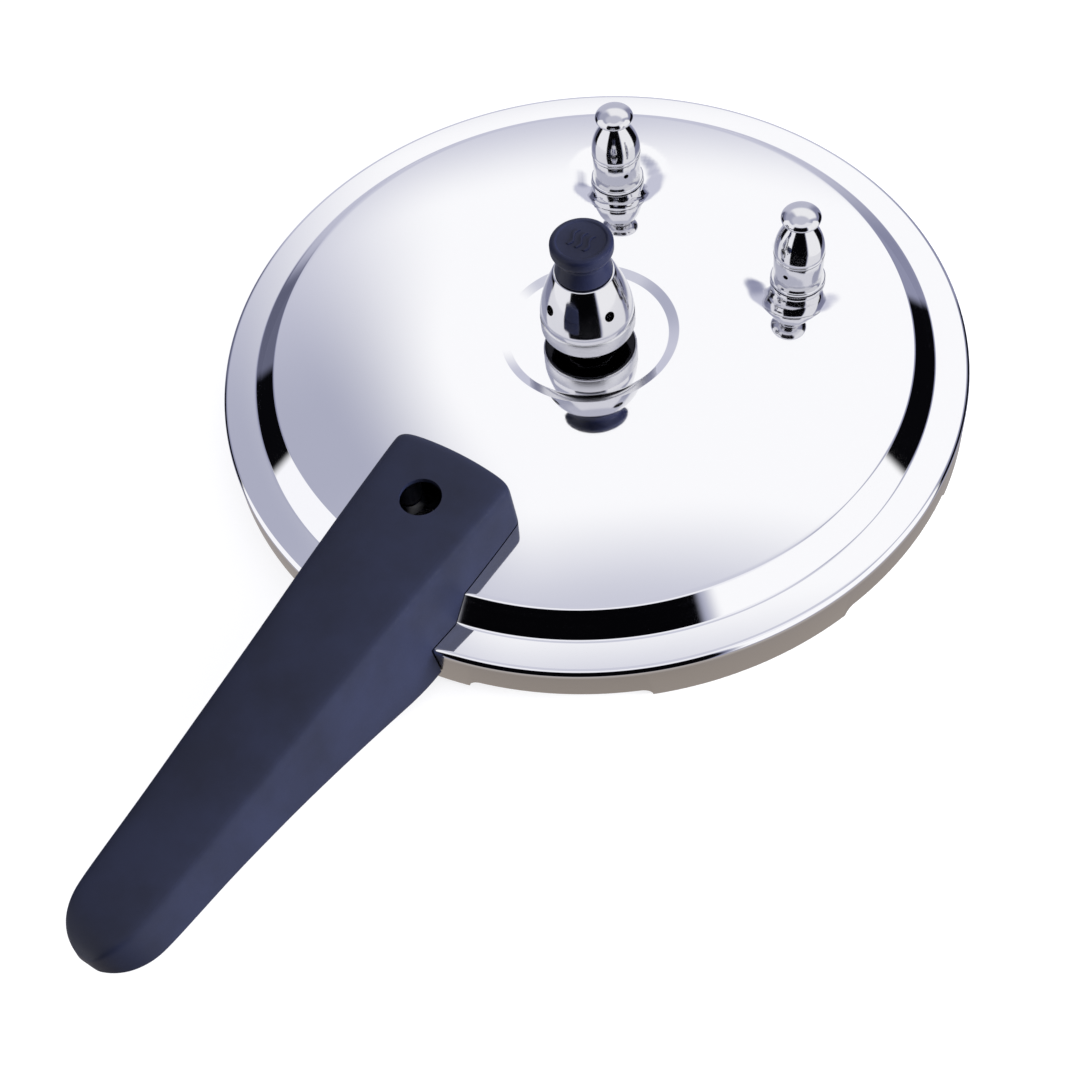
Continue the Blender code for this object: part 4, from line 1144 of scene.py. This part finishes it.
@dataclass
class SafetyValve:
    """One spring-loaded safety valve on the lid: seat, bell-shaped bonnet and knob-headed stem."""

    key: str
    base: float = 9.2 * MM
    base_height: float = 1.3 * MM
    groove: float = 7.6 * MM
    drum: float = 8.4 * MM
    belly: float = 8.55 * MM
    neck: float = 3.9 * MM
    stand_off: float = 12.05 * MM
    chamber: float = 5.8 * MM
    shank: float = 5.0 * MM
    bore: float = 1.8 * MM
    floor: float = 3.4 * MM
    roof: float = 6.1 * MM
    stem: float = 2.1 * MM
    collar: float = 4.6 * MM
    head: float = 6.6 * MM
    head_flatness: float = 0.46
    poppet: float = 1.6 * MM
    collar_height: float = 1.5 * MM
    bell_steps: int = 18
    bell_fullness: float = 2.2
    exhaust: float = 0.9 * MM
    exhaust_turn_deg: float = -34.0

    @property
    def name(self) -> str:
        """The name that its CAD nodes start with."""
        return f"safety_valve_{self.key}"

    @property
    def stand(self) -> Stand:
        """Its upright axis."""
        return stand_of(f"{self.name}_bonnet")

    def build(self) -> None:
        """Build the seat, the bonnet and the stem."""
        self.build_seat()
        self.build_bonnet()
        self.build_stem()

    def build_seat(self) -> None:
        """Turn the lower half, with its shank, base ring and drum, and drill its exhausts."""
        span = Span.of(f"{self.name}_seat")
        foot = span.foot
        top = span.top
        seat = Span.of(f"{self.name}_bonnet").foot - self.stand_off
        base_top = seat + self.base_height
        floor = seat + self.floor
        corners = [
            Corner(self.bore, foot, 0.3 * MM),
            Corner(self.shank, foot, 0.5 * MM),
            Corner(self.shank, seat),
            Corner(self.base, seat, 0.2 * MM),
            Corner(self.base, base_top, 0.5 * MM),
            Corner(self.groove, base_top),
            Corner(self.groove, base_top + 0.8 * MM),
            Corner(self.drum - 0.1 * MM, base_top + 2.6 * MM, 3.0 * MM, 6),
            Corner(self.drum, top, 0.2 * MM),
            Corner(self.chamber, top, 0.2 * MM),
            Corner(self.chamber, floor, 0.5 * MM),
            Corner(self.bore, floor, 0.3 * MM),
        ]
        seat_piece = turned(f"valve_{self.key}_seat", self.stand, corners, 112)
        middle = (floor + top) / 2
        for turn in (self.exhaust_turn_deg, self.exhaust_turn_deg + 180):
            cut(seat_piece, cross_drill(self.stand, self.exhaust, 2 * self.base, middle, turn))
        smooth(seat_piece, 30)
        publish(seat_piece, Body.LID, CHROME, f"{self.name}_seat")

    def build_bonnet(self) -> None:
        """Turn the bell, which narrows from the belly to the neck in one soft curve."""
        span = Span.of(f"{self.name}_bonnet")
        low = span.foot
        high = span.top
        lip_top = low + 0.9 * MM
        roof = high - self.roof
        side = []
        for i in range(1, self.bell_steps):
            fall = i / self.bell_steps
            reach = self.belly - (self.belly - self.neck) * fall**self.bell_fullness
            side.append(Corner(reach, lip_top + (high - lip_top) * fall))
        passage = self.stem + 0.3 * MM
        corners = [
            Corner(self.chamber, low, 0.2 * MM),
            Corner(self.belly, low, 0.3 * MM),
            Corner(self.belly, lip_top, 0.15 * MM, 2),
            Corner(self.belly - 0.15 * MM, lip_top + 0.1 * MM),
            *side,
            Corner(self.neck, high, 0.3 * MM),
            Corner(passage, high, 0.2 * MM),
            Corner(passage, roof),
            Corner(self.chamber - 0.8 * MM, roof),
            Corner(self.chamber, roof - 1.5 * MM),
        ]
        bonnet = turned(f"valve_{self.key}_bonnet", self.stand, corners, 112)
        publish(bonnet, Body.LID, CHROME, f"{self.name}_bonnet")

    def build_stem(self) -> None:
        """Turn the stem with its poppet cone, spring collar and flattened ball head."""
        span = Span.of(f"{self.name}_stem")
        tip = span.foot
        collar = tip + self.poppet
        head = Span.of(f"{self.name}_bonnet").top + 0.3 * MM
        flat = self.head_flatness
        head_z = span.top - flat * self.head
        corners = [
            Corner(0.0, tip),
            Corner(self.bore - 0.6 * MM, tip, 0.2 * MM),
            Corner(self.collar - 1.4 * MM, collar),
            Corner(self.collar, collar, 0.2 * MM),
            Corner(self.collar, collar + self.collar_height, 0.2 * MM),
            Corner(self.stem, collar + self.collar_height),
            Corner(self.stem, head),
            *[Corner(c.reach, head_z + flat * c.height) for c in arc((0.0, 0.0), self.head, -56, 86, 26)],
            Corner(0.0, head_z + flat * self.head),
        ]
        stem = turned(f"valve_{self.key}_stem", self.stand, corners, 96)
        body = Body.STEM_A if self.key == "a" else Body.STEM_B
        publish(stem, body, CHROME, f"{self.name}_stem")


# Float valve


@dataclass
class FloatValve:
    """The pressure indicator under the handle's window: a sleeve in the lid and a pin that rises."""

    bore: float = 2.6 * MM
    tube: float = 4.6 * MM
    flange: float = 2.0 * MM
    pin: float = 2.3 * MM
    button: float = 4.2 * MM
    button_height: float = 2.0 * MM

    def build(self) -> None:
        """Build the sleeve and the pin."""
        stand = stand_of("float_sleeve")
        span = Span.of("float_sleeve")
        foot = span.foot
        top = span.top
        seat = top - self.flange
        sleeve = [
            Corner(self.bore, foot, 0.2 * MM),
            Corner(self.tube, foot, 0.4 * MM),
            Corner(self.tube, seat),
            Corner(span.reach, seat, 0.2 * MM),
            Corner(span.reach, top, 0.6 * MM),
            Corner(self.bore, top, 0.3 * MM),
        ]
        publish(turned("float_tube", stand, sleeve, 80), Body.LID, VENT_STEEL, "float_sleeve")
        span = Span.of("float_pin")
        low = span.foot
        high = span.top
        pin_outline = [
            Corner(0.0, low),
            Corner(span.reach, low, 0.4 * MM),
            Corner(span.reach, low + 1.6 * MM, 0.3 * MM),
            Corner(self.pin, low + 1.6 * MM),
            Corner(self.pin, high - self.button_height),
            Corner(self.button, high - self.button_height, 0.2 * MM),
            Corner(self.button, high, 0.6 * MM),
            Corner(0.0, high),
        ]
        publish(turned("float_button", stand, pin_outline, 64), Body.FLOAT, VENT_STEEL, "float_pin")


# Handle


@dataclass(frozen=True)
class Station:
    """One cross-section of the grip.

    Its share runs from 0 at the inner end over 1 at the rim to 2 at the outer end. The other
    values are heights and half-widths.
    """

    share: float
    crown: float
    top_half: float
    bottom: float
    bottom_half: float


@dataclass
class Handle:
    """The moulded grip over the lid, with its window."""

    stations: tuple[Station, ...] = (
        Station(0.00, 27.4 * MM, 21.6 * MM, 2.0 * MM, 23.9 * MM),
        Station(0.50, 26.4 * MM, 20.2 * MM, -6.0 * MM, 25.4 * MM),
        Station(1.00, 24.8 * MM, 18.8 * MM, -14.0 * MM, 24.6 * MM),
        Station(1.20, 22.3 * MM, 17.2 * MM, -8.2 * MM, 22.4 * MM),
        Station(1.43, 19.6 * MM, 15.8 * MM, -3.4 * MM, 19.8 * MM),
        Station(1.66, 17.2 * MM, 14.2 * MM, -0.4 * MM, 17.6 * MM),
        Station(1.88, 15.4 * MM, 12.9 * MM, 0.6 * MM, 16.0 * MM),
        Station(2.00, 14.6 * MM, 12.2 * MM, 1.0 * MM, 15.6 * MM),
    )
    ridge_drop: float = 3.0 * MM
    corner: float = 3.8 * MM
    end: float = 16.0 * MM
    end_turns_deg: tuple[float, ...] = (18, 36, 50, 62, 72, 80)
    bow: float = 1.6 * MM
    bow_reach: float = 30.0 * MM
    wall: float = 4.0 * MM
    roof: float = 4.5 * MM
    window: float = 6.6 * MM
    clearance: float = 0.4 * MM
    boss: float = 4.6 * MM
    screw_hole: float = 2.35 * MM

    @property
    def inner(self) -> float:
        """Reach of the inner end."""
        return AXIS.y - Span.of("handle_grip").high.y

    @property
    def outer(self) -> float:
        """Reach of the outer end."""
        return AXIS.y - Span.of("handle_grip").low.y

    def at_reach(self, reach: float) -> Station:
        """The cross-section at a reach, read between the stations."""
        rim = LID.reach
        if reach <= rim:
            share = (reach - self.inner) / (rim - self.inner)
        else:
            share = 1 + (reach - rim) / (self.outer - rim)
        share = min(max(share, 0.0), 2.0)
        for near, far in zip(self.stations, self.stations[1:]):
            if share <= far.share:
                break
        t = (share - near.share) / (far.share - near.share)
        names = ("share", "crown", "top_half", "bottom", "bottom_half")
        return Station(*[getattr(near, n) + (getattr(far, n) - getattr(near, n)) * t for n in names])

    def stops(self, inset: float) -> list[tuple[float, float, float]]:
        """Where the grip's loops lie.

        Args:
            inset: How far inside the outer form they are.

        Returns:
            The reach, the narrowing and how far round the end, of each loop.
        """
        inner = self.inner + inset
        corner = max(self.corner - inset, 1.0 * MM)
        straight = self.outer - self.end
        stops = []
        for turn in map(math.radians, (0, 22, 45, 68, 90)):
            stops.append((inner + corner * (1 - math.cos(turn)), corner * (1 - math.sin(turn)), 0.0))
        count = 12
        start = inner + corner
        stops += [(start + (straight - start) * i / count, 0.0, 0.0) for i in range(1, count + 1)]
        last = math.sin(math.radians(self.end_turns_deg[-1]))
        for turn in map(math.radians, self.end_turns_deg):
            stops.append((straight + (self.end - inset) * math.sin(turn) / last, 0.0, math.sin(turn)))
        return stops

    def loop(
        self, stop: tuple[float, float, float], inset: float, roof: float, drop_floor: float
    ) -> list[Vector]:
        """One loop of the grip, from the bottom on +X over the crown to -X.

        Args:
            stop: The reach, the narrowing and how far round the end.
            inset: How far inside the outer form it is at the sides.
            roof: How far it is below the crown.
            drop_floor: How far it runs on below the bottom.

        Returns:
            The loop's places in the frame.
        """
        reach, narrowing, end_share = stop
        here = self.at_reach(reach)
        roundness = math.sqrt(1 - end_share**2)
        lift = (1 - end_share**3.2) ** (1 / 3.2)
        bottom = here.bottom
        crown = bottom + (here.crown - roof - bottom) * lift - narrowing / 2
        ridge = crown - self.ridge_drop * roundness
        top = (here.top_half - inset - narrowing) * roundness
        low = (here.bottom_half - inset - narrowing) * roundness
        low += (low - top) * drop_floor / (ridge - bottom)
        bottom -= drop_floor
        flare = low - top
        tall = ridge - bottom
        edge = min(1.0 * MM, 0.15 * low)
        half = [
            (low * 0.5, bottom),
            (low - 1.2 * edge, bottom),
            (low, bottom + 0.4 * edge),
            (low - 0.12 * flare, bottom + 0.12 * tall),
            (top + 0.5 * flare, bottom + 0.5 * tall),
            (top + 0.14 * flare, bottom + 0.86 * tall),
            (top + 0.03 * flare, ridge - 0.03 * tall),
            (top * 0.975, ridge + 0.3 * (crown - ridge)),
            (top * 0.9, ridge + 0.7 * (crown - ridge)),
            (top * 0.66, ridge + 0.88 * (crown - ridge)),
            (top * 0.34, ridge + 0.97 * (crown - ridge)),
        ]
        whole = half + [(0.0, crown)] + [(-x, z) for x, z in reversed(half)]
        fade = max(0.0, 1 - (reach - self.inner) / self.bow_reach)
        bow = self.bow * fade
        return [Vector((AXIS.x + x, AXIS.y - reach - bow * (x / low) ** 2, AXIS.z + z)) for x, z in whole]

    def form(self, name: str, inset: float, roof: float, drop_floor: float, levels: int) -> Object:
        """Draw the grip's loops, bridge them, close the ends and smooth the form.

        Args:
            name: Name of the object.
            inset: How far inside the outer form the sides are.
            roof: How far inside the crown is.
            drop_floor: How far the form runs on below the bottom.
            levels: How often it is subdivided.

        Returns:
            The closed form.
        """
        obj = blank(name)
        loops = [self.loop(stop, inset, roof, drop_floor) for stop in self.stops(inset)]
        for places in loops:
            draw(obj, places, closed=True)
        for near, far in zip(loops, loops[1:]):
            pick_places(obj, [*near, *far])
            bpy.ops.mesh.bridge_edge_loops()
        for places in (loops[0], loops[-1]):
            pick_places(obj, places)
            bpy.ops.mesh.edge_face_add()
        settle(obj)
        modify(obj, "SUBSURF", levels=levels, render_levels=levels)
        return obj

    def build(self) -> None:
        """Build the grip with its hollow, bosses and window."""
        grip = self.form("moulded_grip", 0.0, 0.0, 0.0, 2)
        cut(grip, self.form("grip_core", self.wall, self.roof, 10 * MM, 1))
        for side in ("left", "right"):
            node = f"handle_screw_{side}"
            top = self.at_reach(AXIS.y - Span.of(node).middle.y).crown - self.roof / 2
            cut(grip, pin("boss", stand_of(node), self.boss, 0.0, top), "UNION")
        place = stand_of("float_sleeve")
        crown = self.at_reach(AXIS.y - place.y).crown
        cut(grip, self.lid_form())
        hollow = self.window + 2.5 * MM
        opening = [
            Corner(0.0, 5 * MM),
            Corner(hollow, 5 * MM),
            Corner(hollow, crown - self.roof / 2),
            Corner(self.window, crown - self.roof / 3),
            Corner(self.window, crown + self.roof),
            Corner(0.0, crown + self.roof),
        ]
        cut(grip, turned("window_drill", place, opening, 96))
        for side in ("left", "right"):
            node = f"handle_screw_{side}"
            high = Span.of(node).top + 0.3 * MM
            cut(grip, pin("screw_drill", stand_of(node), self.screw_hole, -5 * MM, high, 32))
        smooth(grip, 32)
        publish(grip, Body.LID, GRIP_BAKELITE, "handle_grip")

    def lid_form(self) -> Object:
        """The lid's outside as a cutter, grown by the clearance that the grip keeps to it."""
        lid = PressedLid()
        grow = self.clearance
        wall = lid.rim - lid.ring_width
        low = -40 * MM
        rings = [lid.disc + grow / 2 - 3 * MM * i for i in range(26)]
        corners = [
            Corner(0.0, low),
            Corner(lid.rim + grow, low),
            Corner(lid.rim + grow, grow),
            Corner(wall + grow / 2, grow),
            *[Corner(reach, lid.dome(min(reach, lid.disc)) + grow) for reach in rings],
            Corner(0.0, DOME_RISE + grow),
        ]
        return turned("lid_form", AXIS, corners, 160)


# Studio


@dataclass(frozen=True)
class Window:
    """A soft-edged patch of the surroundings, all in degrees.

    Azimuth is counted to the right of where the camera looks, low and high from the horizon.
    """

    azimuth: float
    half_width: float
    low: float
    high: float
    side_fade: float
    end_fade: float
    colour: str


@dataclass
class Studio:
    """The camera, the pale floor and the soft surroundings that the steel mirrors."""

    azimuth: float = 40.69
    elevation: float = 55.73
    roll: float = -8.27
    distance: float = 551.4 * MM
    aim: tuple[float, float, float] = (28.13 * MM, -8.27 * MM, 17.0 * MM)
    lens: float = 58.7
    room: str = "#8E90A8"
    floor_colour: str = "#F4F4F5"
    floor_body: str = "#8C8C8E"
    floor_glow: float = 0.86
    floor_grain: float = 2.5 * MM
    floor_relief: float = 0.1 * MM
    world_light: float = 1.12
    overhead: tuple[float, float, float] = (-0.3, 0.5, 1.6)
    overhead_size: tuple[float, float] = (1.6, 1.6)
    overhead_watts: float = 9.0
    flank_azimuth: float = 105.0
    flank_distance: float = 0.75
    flank_rise: float = 0.2
    flank_size: tuple[float, float] = (0.5, 0.3)
    flank_watts: float = 20.0
    windows: tuple[Window, ...] = (
        Window(0.0, 200.0, -110.0, -46.0, 8.0, 8.0, "#AFA9A5"),
        Window(0.0, 200.0, 28.0, 64.0, 8.0, 8.0, "#AEB0C2"),
        Window(0.0, 200.0, 54.0, 110.0, 12.0, 12.0, "#CDCEDA"),
        Window(3.0, 36.0, -56.0, 50.0, 16.0, 12.0, "#C6C7D6"),
        Window(-38.0, 16.0, -40.0, 24.0, 8.0, 8.0, "#63657A"),
        Window(122.0, 36.0, -40.0, 52.0, 6.0, 6.0, "#FFFFFF"),
        Window(-98.0, 36.0, -40.0, 52.0, 6.0, 6.0, "#FCFCFE"),
        Window(30.0, 50.0, 30.0, 69.0, 16.0, 9.0, "#FFFFFF"),
        Window(180.0, 75.0, 42.0, 76.0, 6.0, 6.0, "#F2F2F6"),
        Window(-166.0, 37.0, -50.0, 44.0, 3.0, 3.0, "#040406"),
        Window(71.5, 21.5, -30.0, 17.0, 3.0, 3.0, "#07070A"),
        Window(-57.0, 12.5, -30.0, 14.0, 3.0, 3.0, "#07070A"),
    )

    def build(self) -> None:
        """Set up the camera, the floor and the light."""
        self.build_camera()
        self.build_floor()
        self.build_world()
        self.build_light()
        bpy.context.scene.view_settings.view_transform = "Standard"
        LOG.info("studio: %d windows", len(self.windows))

    def build_camera(self) -> None:
        """Place the camera round its aim, rolled as it was held."""
        turn = math.radians(self.azimuth)
        tilt = math.radians(self.elevation)
        back = Vector((math.sin(turn) * math.cos(tilt), -math.cos(turn) * math.cos(tilt), math.sin(tilt)))
        data = bpy.data.cameras.new("camera")
        data.lens = self.lens
        data.sensor_width = 36.0
        data.clip_start = 0.01
        camera = bpy.data.objects.new("camera", data)
        bpy.context.scene.collection.objects.link(camera)
        camera.rotation_mode = "QUATERNION"
        camera.location = Vector(self.aim) + back * self.distance
        held = Quaternion((0, 0, 1), math.radians(self.roll))
        camera.rotation_quaternion = (-back).to_track_quat("-Z", "Y") @ held
        bpy.context.scene.camera = camera

    def build_floor(self) -> None:
        """Lay a lit table of white acrylic. It can't be seen from below, and the steel doesn't mirror it."""
        bpy.ops.object.select_all(action="DESELECT")
        bpy.ops.mesh.primitive_plane_add(size=8.0, location=(0, 0, -0.1 * MM))
        floor = bpy.context.object
        floor.name = "floor"
        material, tree, shader, place = start_material("backlit_white_acrylic")
        tooth = add(tree, "TexNoise", {"Vector": place, "Scale": 1 / self.floor_grain, "Detail": 3.0})
        bump = add(tree, "Bump", {"Height": tooth, "Strength": 0.1, "Distance": self.floor_relief})
        looks = {
            "Normal": bump,
            "Base Color": linear(self.floor_body),
            "Roughness": 0.9,
            "Specular IOR Level": 0.1,
            "Emission Color": linear(self.floor_colour),
            "Emission Strength": self.floor_glow,
        }
        connect(tree, shader, looks)
        behind = add(tree, "NewGeometry", out="Backfacing")
        clear = add(tree, "BsdfTransparent")
        both = add(tree, "MixShader", {0: behind, 1: shader.outputs[0], 2: clear})
        tree.links.new(both, tree.nodes["Material Output"].inputs["Surface"])
        floor.data.materials.append(material)
        floor.visible_glossy = False

    def level(self, azimuth: float) -> Vector:
        """The level direction at an azimuth."""
        turn = math.radians(self.azimuth - azimuth)
        return Vector((-math.sin(turn), math.cos(turn), 0))

    def build_world(self) -> None:
        """Surround the piece with a pale room and its windows, mixed one over another."""
        world = bpy.data.worlds.new("studio")
        bpy.context.scene.world = world
        world.use_nodes = True
        tree = world.node_tree
        tree.nodes.clear()
        way = add(tree, "TexCoord", out="Generated")
        height = add(tree, "SeparateXYZ", {0: way}, "Z")
        elevation = add(tree, "Math", {0: height}, operation="ARCSINE")
        colour: object = linear(self.room)
        for window in self.windows:
            ahead, across = (
                add(
                    tree,
                    "VectorMath",
                    {0: way, 1: self.level(window.azimuth + turn)},
                    "Value",
                    operation="DOT_PRODUCT",
                )
                for turn in (0, 90)
            )
            offset = add(tree, "Math", {0: across, 1: ahead}, operation="ARCTAN2")
            middle = math.radians((window.low + window.high) / 2)
            rise = add(tree, "Math", {0: elevation, 1: middle}, operation="SUBTRACT")
            tall = (window.high - window.low) / 2
            parts = []
            sides = ((offset, window.half_width, window.side_fade), (rise, tall, window.end_fade))
            for value, half, fade in sides:
                size = add(tree, "Math", {0: value}, operation="ABSOLUTE")
                fall = {0: size, 1: math.radians(half - fade), 2: math.radians(half), 3: 1.0, 4: 0.0}
                parts.append(add(tree, "MapRange", fall, interpolation_type="SMOOTHSTEP"))
            share = add(tree, "Math", {0: parts[0], 1: parts[1]}, operation="MULTIPLY")
            layers = {0: share, 6: colour, 7: linear(window.colour)}
            colour = add(tree, "Mix", layers, 2, data_type="RGBA")
        light = add(tree, "Background", {"Color": colour, "Strength": self.world_light})
        connect(tree, tree.nodes.new("ShaderNodeOutputWorld"), {"Surface": light})

    def build_light(self) -> None:
        """Hang a wide soft light overhead and stand a low one on the right, for the grip's flank."""
        flank = self.level(self.flank_azimuth) * self.flank_distance + Vector((0, 0, self.flank_rise))
        self.lamp("overhead", Vector(self.overhead), self.overhead_size, self.overhead_watts)
        self.lamp("right_strip", flank, self.flank_size, self.flank_watts)

    def lamp(self, name: str, place: Vector, size: tuple[float, float], watts: float) -> None:
        """Add an area light that faces the piece and that the steel doesn't mirror.

        Args:
            name: Its name.
            place: Where it stands.
            size: Its width and height.
            watts: Its power.
        """
        data = bpy.data.lights.new(name, "AREA")
        data.shape = "RECTANGLE"
        data.size, data.size_y = size
        data.energy = watts
        lamp = bpy.data.objects.new(name, data)
        bpy.context.scene.collection.objects.link(lamp)
        lamp.location = place
        lamp.rotation_mode = "QUATERNION"
        lamp.rotation_quaternion = (-place).to_track_quat("-Z", "Y")
        lamp.visible_glossy = False


def main() -> None:
    """Build every piece and its studio."""
    logging.basicConfig(level=logging.INFO, format="%(name)s: %(message)s")
    PressedLid().build()
    Regulator().build()
    SafetyValve("a", exhaust_turn_deg=-34.0).build()
    SafetyValve("b", exhaust_turn_deg=-92.0).build()
    FloatValve().build()
    Handle().build()
    dressed = {
        PALE_SILICONE: ("vent_tube_seal",),
        PRESSED_STEEL: (
            "vent_tube_nut",
            "anti_clog_cap",
            "safety_valve_a_nut",
            "safety_valve_b_nut",
            "float_nut",
            "handle_bracket",
            "handle_screw_left",
            "handle_screw_right",
            "handle_screw_bracket",
            "handle_screw_cover",
        ),
        VENT_STEEL: ("regulator_needle",),
        SPRING_STEEL: ("regulator_clip", "safety_valve_a_spring", "safety_valve_b_spring"),
        RED_SILICONE: ("safety_valve_a_seal", "safety_valve_b_seal", "float_seal", "float_pin_seal"),
        GRIP_BAKELITE: ("handle_bottom_cover",),
    }
    for finish, nodes in dressed.items():
        for node in nodes:
            dress_node(node, finish)
    Studio().build()


if __name__ == "__main__":
    main()
